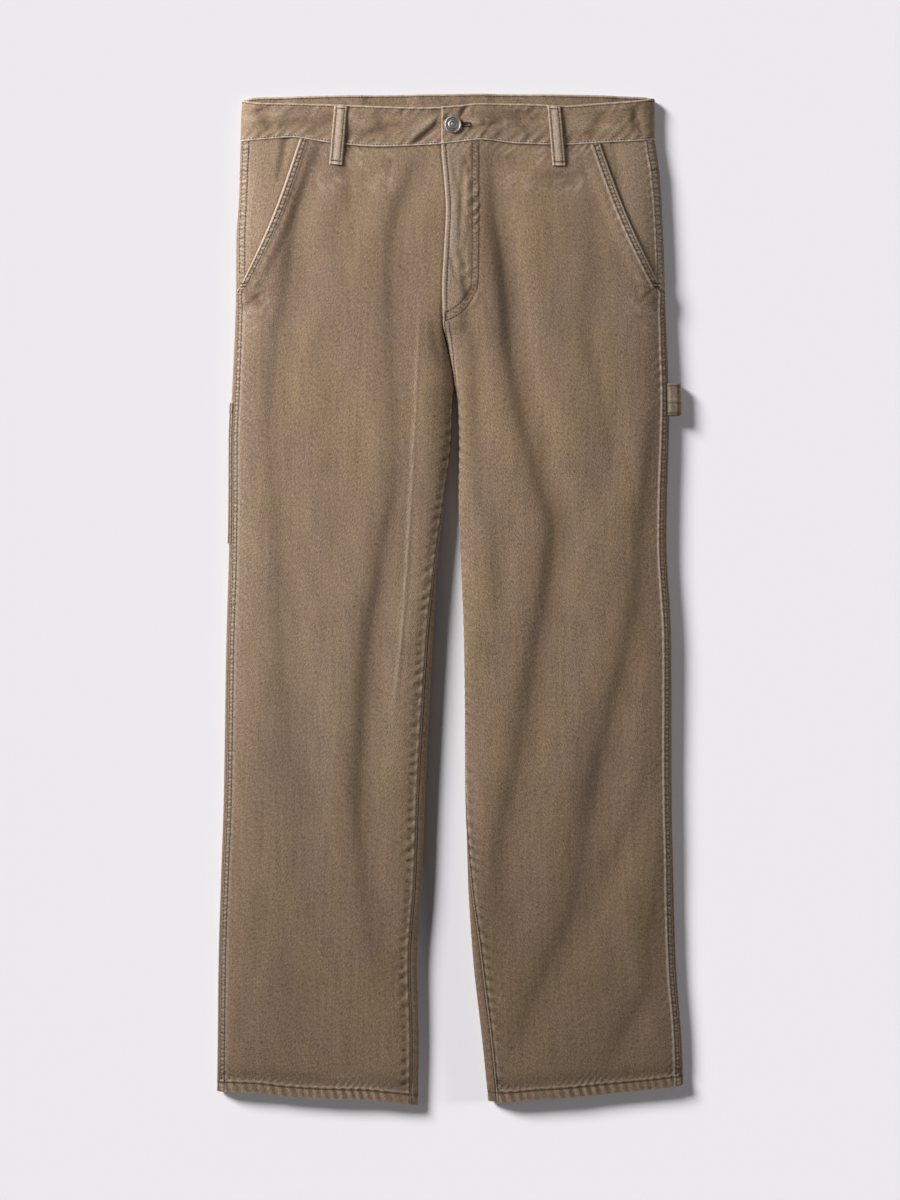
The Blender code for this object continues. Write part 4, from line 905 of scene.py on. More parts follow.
def denim(name, colour, worn, deep):
    """Washed twill: fine diagonal ribs, heathered warp threads, clouds left by the wash, and
    paler and darker cloth where the marks worn and deep say so; worn is partly rubbed cloth and
    partly painted light, deep partly less faded dye and partly painted shade. Between two rows of
    stitches the mark felled brings out rungs, which follow the mark run along the seam."""
    material = bpy.data.materials.new(name)
    material.use_nodes = True
    tree = material.node_tree
    shader = tree.nodes["Principled BSDF"]
    place = add_node(tree, "UVMap", {}, uv_map="cloth").outputs["UV"]

    def scaled(vector, across, along):
        """The vector times so many to a metre across and along the cloth."""
        factors = {0: vector, 1: (across, along, 1.0)}
        return add_node(tree, "VectorMath", factors, operation="MULTIPLY").outputs[0]

    def noise(vector, detail):
        """Noise in the plane, one patch to each unit of the vector."""
        inputs = {"Vector": vector, "Scale": 1.0, "Detail": detail}
        return add_node(tree, "TexNoise", inputs, noise_dimensions="2D").outputs[0]

    def grain(across, along, detail):
        """Noise with so many patches to a metre across and along the cloth."""
        return noise(scaled(place, across, along), detail)

    def worked(operation, *terms, **settings):
        """One Math node's result."""
        inputs = dict(enumerate(terms))
        return add_node(tree, "Math", inputs, operation=operation, **settings).outputs[0]

    def spread(value, low, high):
        """The value mapped so that low becomes 0 and high becomes 1."""
        inputs = {"Value": value, "From Min": low, "From Max": high}
        return add_node(tree, "MapRange", inputs).outputs[0]

    def blend(share, first, second):
        """A mix of two colours by a share."""
        mixed = add_node(tree, "Mix", {0: share, 6: first, 7: second}, data_type="RGBA")
        return mixed.outputs[2]

    def mark(label):
        """A number that the mesh holds on each point."""
        return add_node(tree, "Attribute", {}, attribute_name=label).outputs["Fac"]

    turned = add_node(tree, "Mapping", {0: place, 2: (0.0, 0.0, TWILL_TURN)}).outputs[0]
    threads = noise(scaled(turned, 820.0, 260.0), 2.0)
    flecks = grain(950.0, 700.0, 2.0)
    specks = spread(grain(1000.0, 700.0, 0.0), 0.54, 0.74)
    rib = add_node(tree, "VectorMath", {0: place, 1: TWILL_RIBS}, operation="DOT_PRODUCT")
    rib = worked("SINE", worked("MULTIPLY_ADD", flecks, 9.0, rib.outputs["Value"]))
    weights = (
        (threads, 1.25), (flecks, 1.05), (grain(230.0, 16.0, 3.0), 0.36),
        (grain(60.0, 26.0, 4.0), 0.26), (grain(15.0, 7.0, 2.0), 0.22),
    )
    tone = 0.97 - 0.5 * sum(weight for _, weight in weights)
    tone = worked("MULTIPLY_ADD", rib, 0.045, tone)
    tone = worked("MULTIPLY_ADD", specks, 0.22, tone)
    for part, weight in weights:
        tone = worked("MULTIPLY_ADD", part, weight, tone)
    warm = [value * tint for value, tint in zip(colour, WARM_TINT)]
    cool = [value * tint for value, tint in zip(colour, COOL_TINT)]
    base = blend(spread(grain(17.0, 8.0, 5.0), 0.36, 0.64), (*cool, 1.0), (*warm, 1.0))
    base = add_node(tree, "VectorMath", {0: base, "Scale": tone}, operation="SCALE").outputs[0]
    rungs = worked("MULTIPLY_ADD", grain(160.0, 90.0, 2.0), 7.0, worked("MULTIPLY", mark("run"), 1.32))
    laddered = worked("MULTIPLY", spread(worked("SINE", rungs), -0.25, 0.55), mark("felled"))
    uneven_wear = worked("MULTIPLY_ADD", worked("ADD", threads, flecks), 1.5, -0.65)
    wear_and_painted_light = worked("MULTIPLY_ADD", mark("felled"), 0.12, mark("worn"))
    wear_and_painted_light = worked("MULTIPLY", wear_and_painted_light, uneven_wear, use_clamp=True)
    dark = worked("MULTIPLY_ADD", laddered, 0.66, mark("deep"))
    dark = worked("MULTIPLY", dark, 0.9, use_clamp=True)
    base = blend(wear_and_painted_light, base, (*worn, 1.0))
    base = blend(worked("MULTIPLY", dark, 0.8), base, (*deep, 1.0))
    tree.links.new(base, shader.inputs["Base Color"])
    relief = worked("MULTIPLY_ADD", rib, 0.12, worked("MULTIPLY", threads, 0.9))
    relief = worked("MULTIPLY_ADD", flecks, 0.8, relief)
    relief = worked("MULTIPLY_ADD", laddered, -0.9, relief)
    bump = add_node(tree, "Bump", {"Height": relief, "Strength": 0.5, "Distance": 0.0007})
    tree.links.new(bump.outputs[0], shader.inputs["Normal"])
    shader.inputs["Roughness"].default_value = 0.95
    shader.inputs["Specular IOR Level"].default_value = 0.15
    shader.inputs["Sheen Weight"].default_value = 0.04
    shader.inputs["Sheen Roughness"].default_value = 0.6
    return material


# The pale colour of worn cloth, also used as painted light, and the dark colour of less faded cloth,
# also used as painted shade
WORN_AND_PAINTED_LIGHT = (0.50, 0.40, 0.31)
UNFADED_AND_PAINTED_SHADE = (0.080, 0.047, 0.028)
front_denim = denim("washed_denim_front", (0.262, 0.185, 0.121), WORN_AND_PAINTED_LIGHT, UNFADED_AND_PAINTED_SHADE)

# The grid of a panel: fine within SIDE_FINE of its outer edge and FLY_FINE of its inner one
PANEL_WIDTH = 240.0
SIDE_FINE = 18.0
FLY_FINE = {"right": 18.0, "left": 46.0}
SEAT_FOOT = 225.0


def cloth_under(side, y, reach, outer, thickness):
    """The inner face: the outer one moved in by the cloth's thickness."""
    return outer - outward(side, y, reach) * (thickness + 0.0 * reach)[..., None]


for body_side in SIGN:
    levels = np.concatenate((
        places(SEAT_FOOT, WAIST_SEAM - SEAM_GAP, 0.0, 16.0, 1.0, 1.7)[::-1],
        places(HEM, SEAT_FOOT, 18.0, 0.0, 1.1, 2.6)[-2::-1],
    ))[:, None]
    fly_fine = FLY_FINE[body_side]
    first, last = front_edges(body_side, levels)
    share = places(
        0.0, 1.0, SIDE_FINE / PANEL_WIDTH, fly_fine / PANEL_WIDTH, 1.1 / PANEL_WIDTH, 2.2 / PANEL_WIDTH,
    )
    middle = (share > SIDE_FINE / PANEL_WIDTH) & (share < 1.0 - fly_fine / PANEL_WIDTH)
    squeezed = (share * PANEL_WIDTH - SIDE_FINE) / (PANEL_WIDTH - SIDE_FINE - fly_fine)
    in_middle = first + SIDE_FINE + (last - first - SIDE_FINE - fly_fine) * squeezed
    at_ends = np.where(share < 0.5, first + share * PANEL_WIDTH, last - (1.0 - share) * PANEL_WIDTH)
    reach = np.where(middle, in_middle, at_ends)
    outer, marks = front_surface(body_side, levels, reach)
    thickness = np.where(levels < HEM + HEM_HEIGHT, HEM_THICKNESS, DENIM)
    under = cloth_under(body_side, levels, reach, outer, thickness)
    piece = cloth("front_leg_" + body_side, outer, under, reach, levels, marks, front_denim)
    laid(piece, "front_panel_" + body_side)


# Pocket facings: the hip pieces behind the slant pocket mouths, of the same denim, which run in
# under the front panels and are felled to the backs with the side seams
FACING_UNDERLAP = 11.0
FACING_ROW = 8.4
# How worn each facing is and how strong its fold: the left one is painted paler, partly rubbed cloth
# and partly painted light that lifts it out of the lamp's shade
FACINGS = {
    "right": {"rim": 0.6, "fell": 0.20, "all": 0.05, "folds": 1.0},
    "left": {"rim": 1.5, "fell": 0.70, "all": 0.12, "folds": 0.35},
}


def facing_surface(side, y, reach):
    """Points and marks of a facing: the felled band at its outer edge, soft painted shade lines
    along its folds, and the hollow where the mouth's edge lies on it. Painted shade lies under
    the mouth's edge and under the waist seam, and the puckers' troughs are darker, partly less
    faded dye and partly painted shade."""
    wear_and_painted_light = FACINGS[side]
    seam = read(LEGS[side], "side_seam", y) + SEAM_GAP / 2
    x = on_face(side, y, reach)[..., 0]
    slant = reach_at(side, y, SIGN[side] * slant_x(y))
    gap = reach - seam
    fell = 1.0 - smoothstep(8.8, 10.2, gap)
    wave = puckers(y, np.maximum(gap - 9.0, 0.0), 9.0, 0.7, 6.0, 2.0 + SIGN[side])
    folds = bell(np.abs(x) - 179.0 - 0.15 * (470.0 - y), 5.0) * smoothstep(436.0, 458.0, y)
    folds = folds * wear_and_painted_light["folds"]
    height = 0.7 * fell + 0.35 * wave + 0.5 * uneven(x, y, 31) - 2.0 * folds
    off_mouth = smoothstep(-2.0, 14.0, slant - reach)
    height = height * off_mouth + 0.5 * bell(y - 461.7, 1.8) * fell
    worn = 0.5 * bell(gap - 10.0, 1.0) + wear_and_painted_light["rim"] * bell(gap - 0.3, 1.4)
    worn = worn + 0.35 * clipped(wave) + wear_and_painted_light["fell"] * fell + wear_and_painted_light["all"]
    deep = 0.75 * (bell(gap - EDGE_ROW, 0.8) + bell(gap - FACING_ROW, 0.8))
    deep = deep + 0.5 * bell(slant - reach, 3.0)
    deep = deep + 0.5 * bell(y - 460.0, 1.2) * fell + 0.65 * bell(WAIST_SEAM - y, 1.7) + 0.45 * folds
    deep = deep + 0.25 * clipped(-wave)
    felled = smoothstep(1.6, 2.4, gap) * (1.0 - smoothstep(7.2, 8.0, gap))
    height = height + rounded_rim(gap, TURNED_EDGE)
    points = on_face(side, y, reach) + outward(side, y, reach) * height[..., None]
    return points, marked(worn, deep, y, felled)


for body_side in SIGN:
    levels = places(SLANT_TIP_Y - 1.0, WAIST_SEAM - SEAM_GAP, 0.0, 6.0, 1.0, 1.7)[::-1, None]
    first = read(LEGS[body_side], "side_seam", levels) + SEAM_GAP / 2
    under_mouth = FACING_UNDERLAP * smoothstep(SLANT_TIP_Y, SLANT_TIP_Y + 30.0, levels) + 1.0
    last = reach_at(body_side, levels, SIGN[body_side] * slant_x(levels)) + under_mouth
    last = np.maximum(last, first + 2.0)
    reach = first + (last - first) * places(0.0, 1.0, 0.12, 0.0, 0.012, 0.02)
    outer, marks = facing_surface(body_side, levels, reach)
    under = cloth_under(body_side, levels, reach, outer, DENIM)
    piece = cloth("hip_facing_" + body_side, outer, under, reach, levels, marks, front_denim)
    laid(piece, "pocket_facing_" + body_side)


# Back legs and yokes: the back panels run from the yoke seams to the hems and wrap round both
# edges to the seams on top. They lie flat on the surface, and only their edges show from above.
YOKE_SIDE = 462.0
YOKE_CENTRE = 424.0
YOKE_EASE = 392.0
BACK_WIDTH = 260.0
back_denim = denim("washed_denim_back", (0.235, 0.163, 0.107), WORN_AND_PAINTED_LIGHT, UNFADED_AND_PAINTED_SHADE)


def back_edges(side, y):
    """Reach of the back's outer and inner edge at each height."""
    start = read(LEGS[side], "side_seam", y) - SEAM_GAP / 2
    end = -length_over(side, "back", y)
    end = end - np.where(y < CROTCH, read(LEGS[side], "inseam", y) - SEAM_GAP / 2, 0.0)
    return start, end


def yoke_seam(share):
    """Height of the yoke seam at a share of the way from the side seam to the centre back."""
    return YOKE_SIDE + (YOKE_CENTRE - YOKE_SIDE) * share ** 0.9


def back_surface(side, y, reach):
    """Points and marks of the back: puckers beside the side seam, the inseam and the hem, which
    fade out where the cloth lies flat on the surface. Their troughs are darker, partly less faded
    dye and partly painted shade."""
    start, end = back_edges(side, y)
    x, _, z = np.moveaxis(on_face(side, y, reach), -1, 0)
    outer_gap = start - reach
    inner_gap = np.where(y < CROTCH, reach - end, 60.0)
    hem_gap = y - HEM
    shows = smoothstep(1.0, 4.0, z)
    in_hem = 1.0 - smoothstep(HEM_HEIGHT - 0.6, HEM_HEIGHT + 0.6, hem_gap)
    wave = puckers(y, outer_gap, 9.5, -0.7, 9.0, 6.0 + SIGN[side])
    wave = wave * smoothstep(0.5, 2.5, outer_gap)
    inner = puckers(y, inner_gap, 10.0, 0.6, 8.0, 1.0 + SIGN[side])
    inner = inner * smoothstep(0.5, 2.5, inner_gap)
    rope = puckers(x, hem_gap - HEM_ROW, 10.5, 0.75, 40.0, 9.0) * in_hem
    height = shows * (0.2 * wave + 0.35 * inner + 0.35 * rope * smoothstep(0.0, 3.0, hem_gap))
    worn = 0.3 * clipped(wave) + 0.25 * clipped(inner) + 0.35 * clipped(rope)
    worn = worn + 0.4 * bell(outer_gap, 1.0) + 0.3 * bell(inner_gap, 0.9)
    worn = worn + 0.3 * bell(hem_gap, 1.2)
    deep = 0.3 * clipped(-wave) + 0.35 * clipped(-inner) + 0.3 * clipped(-rope)
    deep = deep + 0.5 * bell(hem_gap - HEM_ROW, 1.0) + 0.3 * bell(outer_gap - 0.8, 0.8)
    height = height + shows * (rounded_rim(outer_gap, 0.8) + rounded_rim(inner_gap, 0.8))
    points = on_face(side, y, reach) + outward(side, y, reach) * height[..., None]
    points[..., 2] = np.maximum(points[..., 2], 0.0)
    return points, marked(worn, deep, y)


for body_side in SIGN:
    shares = places(0.0, BACK_WIDTH, 24.0, 26.0, 1.3, 9.0) / BACK_WIDTH
    levels = places(HEM, YOKE_SIDE, 16.0, 0.0, 1.3, 3.0)[::-1, None]
    ease = clipped((levels - YOKE_EASE) / (YOKE_SIDE - YOKE_EASE))
    height_at = levels + ease * (yoke_seam(shares) - YOKE_SIDE)
    height_at[0] = height_at[0] - SEAM_GAP
    top_levels = places(YOKE_SIDE, WAIST_SEAM - SEAM_GAP, 0.0, 0.0, 1.0, 2.5)[::-1, None]
    raised = (top_levels - YOKE_SIDE) / (WAIST_SEAM - SEAM_GAP - YOKE_SIDE)
    yoke_at = yoke_seam(shares) + raised * (WAIST_SEAM - SEAM_GAP - yoke_seam(shares))
    for name, node, height_at in (
        ("back_leg_", "back_panel_", height_at), ("yoke_", "back_yoke_", yoke_at),
    ):
        first, last = back_edges(body_side, height_at)
        reach = first + (last - first) * shares
        outer, marks = back_surface(body_side, height_at, reach)
        thickness = np.where(height_at < HEM + HEM_HEIGHT, HEM_THICKNESS, DENIM)
        under = cloth_under(body_side, height_at, reach, outer, thickness)
        piece = cloth(name + body_side, outer, under, reach, height_at, marks, back_denim)
        laid(piece, node + body_side)


# Patch pockets: two on the seat and a long one on the outside of the right thigh, each cut from
# the back's denim, hemmed at the mouth and topstitched twice. The seat ones are pressed flat
# under the garment; the thigh one wraps round the edge of the leg and shows there as a strip.
POCKET_INNER = 47.0
POCKET_WIDTH = 148.0
POCKET_TOP = 405.0
POCKET_HEIGHT = 150.0
POCKET_POINT = 18.0
TOOL_TOP = 212.0
TOOL_BOTTOM = 60.0
TOOL_WRAP = 5.0
TOOL_REACH = 122.0
TOOL_FLAT = -16.0
PATCH_ROWS = (1.8, 7.4)
PATCH_HEM_ROWS = (2.0, 11.0)


def patch_marks(side_gap, top_gap, foot_gap, run):
    """Height and marks of a patch: two rows of stitches round it, a hem and worn edges, and
    puckers whose troughs are darker, partly less faded dye and partly painted shade.
    """
    edge = np.minimum(side_gap, foot_gap)
    height = rounded_rim(edge, 0.6) + rounded_rim(top_gap, 0.8)
    rows = sum(bell(edge - gap, 0.7) for gap in PATCH_ROWS)
    rows = rows + sum(bell(top_gap - gap, 0.7) for gap in PATCH_HEM_ROWS)
    hem = 1.0 - smoothstep(12.0, 13.2, top_gap)
    wave = puckers(run, edge, 9.0, 0.7, 9.0, 3.0)
    height = height + 0.2 * wave * smoothstep(1.0, 3.0, edge) - 0.15 * rows + 0.5 * hem
    worn = 0.5 * bell(edge, 0.9) + 0.4 * bell(top_gap, 1.0) + 0.4 * bell(top_gap - 12.8, 0.9)
    worn = worn + 0.3 * clipped(wave)
    deep = 0.5 * clipped(rows) + 0.25 * clipped(-wave)
    return height, marked(worn, deep, run)


def foot_of_pocket(across):
    """y of a seat pocket's lower edge at a share of its width: a flat point in the middle."""
    return POCKET_TOP - POCKET_HEIGHT - POCKET_POINT * (1.0 - np.abs(2.0 * across - 1.0))


for body_side in SIGN:
    shares = np.linspace(0.0, 1.0, 61)
    x = SIGN[body_side] * (POCKET_INNER + POCKET_WIDTH * shares)
    levels = POCKET_TOP + (foot_of_pocket(shares) - POCKET_TOP) * np.linspace(0.0, 1.0, 65)[:, None]
    side_gap = POCKET_WIDTH * np.minimum(shares, 1.0 - shares) + 0.0 * levels
    foot_gap = levels - foot_of_pocket(shares)
    height, marks = patch_marks(side_gap, POCKET_TOP - levels, foot_gap, levels + x)
    x = x + 0.0 * levels
    outer = np.stack((x, levels, np.clip(-height, 0.0, 0.8)), axis=-1)
    under = np.stack((x, levels, DENIM + 0.0 * x), axis=-1)
    piece = cloth("back_patch_" + body_side, outer, under, x, levels, marks, back_denim)
    laid(piece, "back_pocket_" + body_side)

levels = places(TOOL_BOTTOM, TOOL_TOP, 12.0, 14.0, 1.1, 2.2)[::-1, None]
reach = TOOL_WRAP - places(0.0, TOOL_REACH + TOOL_WRAP, 34.0, 0.0, 1.1, 6.0)
levels, reach = together(levels, reach)
side_gap = np.minimum(TOOL_WRAP - reach, reach + TOOL_REACH)
height, marks = patch_marks(side_gap, TOOL_TOP - levels, levels - TOOL_BOTTOM, levels + reach)
outer = placed("right", levels, reach, SEAM_GAP + DENIM + height)
under = placed("right", levels, reach, SEAM_GAP + height)
for grid, low in ((outer, 0.0), (under, DENIM)):
    grid[..., 2] = np.where(reach < TOOL_FLAT, low, np.maximum(grid[..., 2], low))
piece = cloth("thigh_patch", outer, under, reach, levels, marks, back_denim)
laid(piece, "tool_pocket")


# Waistband: one strip of denim folded over at its top edge, 41 mm high and about 3 mm thick. It
# starts under the fly, runs round the back and ends on top, where a keyhole is cut for the
# button. It is topstitched along both edges, and the back's inner face shows above the front.
BAND_THICKNESS = 3.0
BAND_PROUD = 1.0
BAND_UNDERLAP = 34.0
BUTTON_X = 3.2
BUTTON_Y = 510.0
SLIT_LENGTH = 17.0
BAND_ROWS = (2.3, 2.6)
BAND_CREASES = (
    (-9, 516, -40, 491, 2.8, 4), (-12, 524, -42, 502, -1.1, 4.5), (10.8, 517, 18, 532, 2, 3),
    (20, 504, 46, 509, 1.8, 3.2), (20, 514, 52, 499, -1.1, 3.8), (24, 524, 60, 512, 1, 4),
    (-150, 498, -120, 522, 1.7, 7), (-80, 528, -60, 498, 1.5, 6), (90, 500, 70, 526, 1.6, 6),
    (-205, 526, -190, 500, 1.8, 6), (150, 496, 168, 524, 1.7, 6.5), (196, 528, 206, 500, 1.6, 5),
    (-184, 505, -140, 512, 1.6, 6), (-100, 500, -50, 515, 1.3, 5), (58, 524, 104, 516, 1.5, 5),
    (-222, 512, -176, 520, -1.2, 6), (124, 512, 186, 504, -1, 6), (-110, 524, -84, 508, -0.9, 4.5),
)


def crumple(x, y):
    """The band's small creases: 90 short strokes of 8 to 30 mm at random places, most of them
    leaning, a third of them ridges."""
    draw = np.random.default_rng(12)
    lines = []
    for _ in range(90):
        at_x, at_y = draw.uniform(-230.0, 230.0), draw.uniform(494.0, 531.0)
        half = draw.uniform(4.0, 15.0)
        turn = draw.normal(0.9, 0.7)
        ends = (at_x - half * math.cos(turn), at_y - half * math.sin(turn))
        ends = ends + (at_x + half * math.cos(turn), at_y + half * math.sin(turn))
        lines.append(ends + (draw.uniform(-0.5, 0.95), draw.uniform(1.8, 4.6)))
    return strokes(x, y, lines)


band_denim = denim("washed_denim_band", (0.238, 0.168, 0.112), WORN_AND_PAINTED_LIGHT, UNFADED_AND_PAINTED_SHADE)


def slit_drop(x):
    """How far the keyhole's line moves with the cloth, so that it stays level with the button."""
    return -(read(WAIST_LINE, "front_top", x) + read(WAIST_LINE, "front_seam", x)) / 2


def band_surface(side, y, reach):
    """Points of the waistband's outer and inner face, and its marks. Both faces draw together in a
    half round at the folded top edge. The troughs of its puckers and creases are darker, partly
    less faded dye and partly painted shade, and the keyhole's slit gets painted shade."""
    y, reach = together(y, reach)
    front = length_over(side, "front", y)
    x = on_face(side, y, reach)[..., 0]
    top_gap = BAND_TOP - y
    low_gap = y - WAIST_SEAM
    over = smoothstep(-4.0, 12.0, reach)
    out = BAND_PROUD * over
    run = reach if side == "left" else -reach
    lower = puckers(run, low_gap, 13.5, 1.1, 9.0, 2.2 + SIGN[side])
    upper = puckers(run, top_gap, 11.0, -0.7, 6.0, 5.2 + SIGN[side])
    relief = 0.85 * lower * smoothstep(0.5, 3.0, low_gap)
    relief = relief + 0.5 * upper * smoothstep(0.5, 3.0, top_gap)
    relief = relief + 0.9 * uneven(x, 3.0 * y, 21) * smoothstep(0.0, 8.0, top_gap)
    relief = relief - 0.4 * (bell(low_gap - BAND_ROWS[0], 0.9) + bell(top_gap - BAND_ROWS[1], 0.9))
    creased = strokes(x, y, BAND_CREASES) + crumple(x, y)
    creased = creased * smoothstep(0.5, 5.0, np.minimum(low_gap, top_gap))
    relief = (relief + creased) * smoothstep(2.0, 12.0, reach)
    end_gap = front - reach
    worn = 0.95 * bell(top_gap - 0.7, 1.3) + 1.35 * bell(low_gap - 0.9, 2.1)
    worn = worn + 0.5 * clipped(lower) + 0.35 * clipped(upper)
    worn = worn + 0.3 * clipped(creased)
    deep = 0.45 * (bell(low_gap - BAND_ROWS[0], 0.8) + bell(top_gap - BAND_ROWS[1], 0.8))
    deep = deep + 0.6 * clipped(-lower) + 0.35 * clipped(-upper)
    deep = deep + 0.3 * clipped(-creased)
    if side == "left":
        lap = 1.0 - smoothstep(BAND_UNDERLAP + 8.0, BAND_UNDERLAP + 34.0, end_gap)
        out = out + (BAND_THICKNESS + SEAM_GAP) * lap
        along_slit = np.clip(x, BUTTON_X, BUTTON_X + SLIT_LENGTH)
        slit = np.hypot(x - along_slit, y - BUTTON_Y - slit_drop(x))
        relief = relief - 1.5 * bell(slit, 0.75) + 0.45 * bell(slit - 2.0, 0.9)
        deep = deep + 0.9 * bell(slit, 0.9) + 0.3 * bell(slit - 2.0, 0.9)
        worn = worn + 0.7 * bell(end_gap - 0.5, 1.0)
        relief = relief + rounded_rim(end_gap, TURNED_EDGE)
    half = BAND_THICKNESS / 2
    turned = rounded(top_gap, half)
    plump = rounded(low_gap, 0.7)
    middle = out - half
    outer = placed(side, y, reach, middle + (half + relief) * turned - 0.7 * (1.0 - plump))
    inner = placed(side, y, reach, middle - half * turned + 0.4 * (1.0 - plump))
    return outer, inner, marked(worn, deep, run)


# The grid of the band: close levels round both edges, and close columns at the buttoned end
levels = np.concatenate((
    BAND_TOP - np.array((0.0, 0.12, 0.45, 0.95, 1.6)),
    np.linspace(BAND_TOP - 2.4, WAIST_SEAM + 1.8, 30),
    WAIST_SEAM + np.array((1.1, 0.6, 0.2, 0.0)),
))[:, None]
BUTTONED_END = 56.0 / 240.0
parts = []
for body_side in SIGN:
    front = length_over(body_side, "front", levels)
    back = length_over(body_side, "back", levels)
    over = 1.0 - np.linspace(0.0, 1.0, 150)
    if body_side == "left":
        close = np.linspace(0.0, BUTTONED_END, 72)[:-1]
        over = 1.0 - np.concatenate((close, np.linspace(BUTTONED_END, 1.0, 112)))
    reach = front * over
    if body_side == "right":
        underlap = BAND_UNDERLAP * np.linspace(1.0, 0.0, 20)[:-1]
        reach = np.concatenate((front + underlap, reach), axis=1)
    reach = np.concatenate((reach, (3.0 - back) * np.linspace(0.0, 1.0, 110)[1:]), axis=1)
    outer, under, marks = band_surface(body_side, levels, reach)
    parts.append({"outer": outer, "under": under, **marks})
joined = {
    name: np.concatenate((parts[0][name], parts[1][name][:, ::-1]), axis=1) for name in parts[0]
}
outer = joined.pop("outer")
under = joined.pop("under")
steps = np.linalg.norm(np.diff(outer[len(outer) // 2], axis=0), axis=-1)
run = np.concatenate(([0.0], np.cumsum(steps))) + 0.0 * outer[..., 0]
piece = cloth("waist_strip", outer, under, levels, run, joined, band_denim, coarse=1)
laid(piece, "waistband")


# Belt loops and hammer loop: straps of denim folded in three and topstitched along both edges.
# Five carry a belt, tacked down at the top of the waistband and just below it; the sixth stands
# off the outside of the left thigh, where a tool's handle goes through it.
LOOP_WIDTH = 13.8
LOOP_THICKNESS = 1.8
LOOP_ARCH = 1.3
LOOP_TOP = 532.0
LOOP_FOOT = 469.0
LOOP_ROW = 2.6
FRONT_LOOPS = {"right": (-117.3, -122.8), "left": (111.7, 117.2)}
BACK_LOOPS = {"side_right": -132.0, "back": 2.0, "side_left": 134.0}
# A reach well under the back, where level lines follow the back's waist
WELL_UNDER = -100.0
HAMMER_TOP = 232.5
HAMMER_BOTTOM = 198.0
HAMMER_THICKNESS = 2.4
HAMMER_STAND = 13.0
HAMMER_REACH = 78.0
loop_denim = denim("washed_denim_loop", (0.335, 0.252, 0.182), WORN_AND_PAINTED_LIGHT, UNFADED_AND_PAINTED_SHADE)


def strap_marks(aside, end_gap, half_width, run):
    """Height and marks of a strap: a raised worn middle, a groove along each row of stitches,
    pale tacks at both ends, and puckers whose troughs are darker, partly less faded dye and partly
    painted shade."""
    edge = half_width - np.abs(aside)
    row = bell(edge - LOOP_ROW, 0.8)
    tack = bell(end_gap - 2.2, 1.5)
    wave = puckers(run, edge, 6.0, 0.5, 6.0, 4.0)
    height = 0.5 * bell(aside, 3.4) - 0.3 * row + 0.12 * wave - 0.25 * tack
    height = height + rounded_rim(edge, TURNED_EDGE)
    worn = bell(aside, 3.0) + 0.65 * bell(edge - 0.3, 0.9) + tack + 0.15 * clipped(wave)
    deep = 0.75 * row + 0.35 * bell(end_gap - 4.6, 0.8) + 0.15 * clipped(-wave)
    return height, marked(worn, deep, run)


def front_loop_surface(side, y, aside):
    """Points of a front belt loop's outer and inner face, and its marks."""
    y, aside = together(y, aside)
    share = (y - LOOP_TOP) / (LOOP_FOOT - LOOP_TOP)
    top_x, foot_x = FRONT_LOOPS[side]
    reach = reach_at(side, y, top_x + (foot_x - top_x) * share - SIGN[side] * aside)
    on_band = smoothstep(WAIST_SEAM - 8.0, WAIST_SEAM - 1.0, y)
    bow = np.sin(math.pi * clipped(share)) ** 0.7
    seat = SEAM_GAP + BAND_PROUD * on_band + LOOP_ARCH * bow
    end_gap = np.minimum(LOOP_TOP - y, y - LOOP_FOOT)
    height, marks = strap_marks(aside, end_gap, LOOP_WIDTH / 2, y)
    outer = placed(side, y, reach, seat + LOOP_THICKNESS + height)
    inner = placed(side, y, reach, seat - 0.2)
    return outer, inner, marks


aside = np.linspace(-0.5, 0.5, 21) * LOOP_WIDTH
loop_levels = np.linspace(LOOP_TOP, LOOP_FOOT, 61)[:, None]
for body_side in SIGN:
    outer, under, marks = front_loop_surface(body_side, loop_levels, aside)
    name = "front_loop_" + body_side
    piece = cloth(name, outer, under, aside, loop_levels, marks, loop_denim)
    laid(piece, "belt_loop_front_" + body_side)
for place_name, middle in BACK_LOOPS.items():
    levels, x = together(np.linspace(LOOP_TOP, LOOP_FOOT, 33)[:, None], middle + aside)
    y = levels + rise(x, levels, WELL_UNDER + 0.0 * x)
    end_gap = np.minimum(LOOP_TOP - levels, levels - LOOP_FOOT)
    height, marks = strap_marks(x - middle, end_gap, LOOP_WIDTH / 2, levels)
    outer = np.stack((x, y, np.clip(-height, 0.0, 0.8)), axis=-1)
    under = np.stack((x, y, LOOP_THICKNESS + 0.0 * x), axis=-1)
    piece = cloth("waist_loop_" + place_name, outer, under, x, levels, marks, loop_denim)
    laid(piece, "belt_loop_" + place_name)


def hammer_loop_path(y):
    """The strap's middle line in the cut at y: off the side seam, out, round and back under."""
    start = on_face("left", y, np.array(5.0))
    edge = on_face("left", y, np.array(0.0))
    half = HAMMER_THICKNESS / 2
    begin_z = start[2] + half + SEAM_GAP
    radius = (begin_z - half) / 2
    turn_x = edge[0] + HAMMER_STAND - half - radius
    points = [(start[0], begin_z), ((start[0] + turn_x) / 2, begin_z + 0.3)]
    for angle in np.linspace(math.pi / 2, -math.pi / 2, 11):
        points.append((turn_x + radius * math.cos(angle), half + radius + radius * math.sin(angle)))
    points += [(edge[0] - 8.0, half), (edge[0] - 40.0, half), (edge[0] - HAMMER_REACH, half)]
    return smooth_path(points, 0.7)


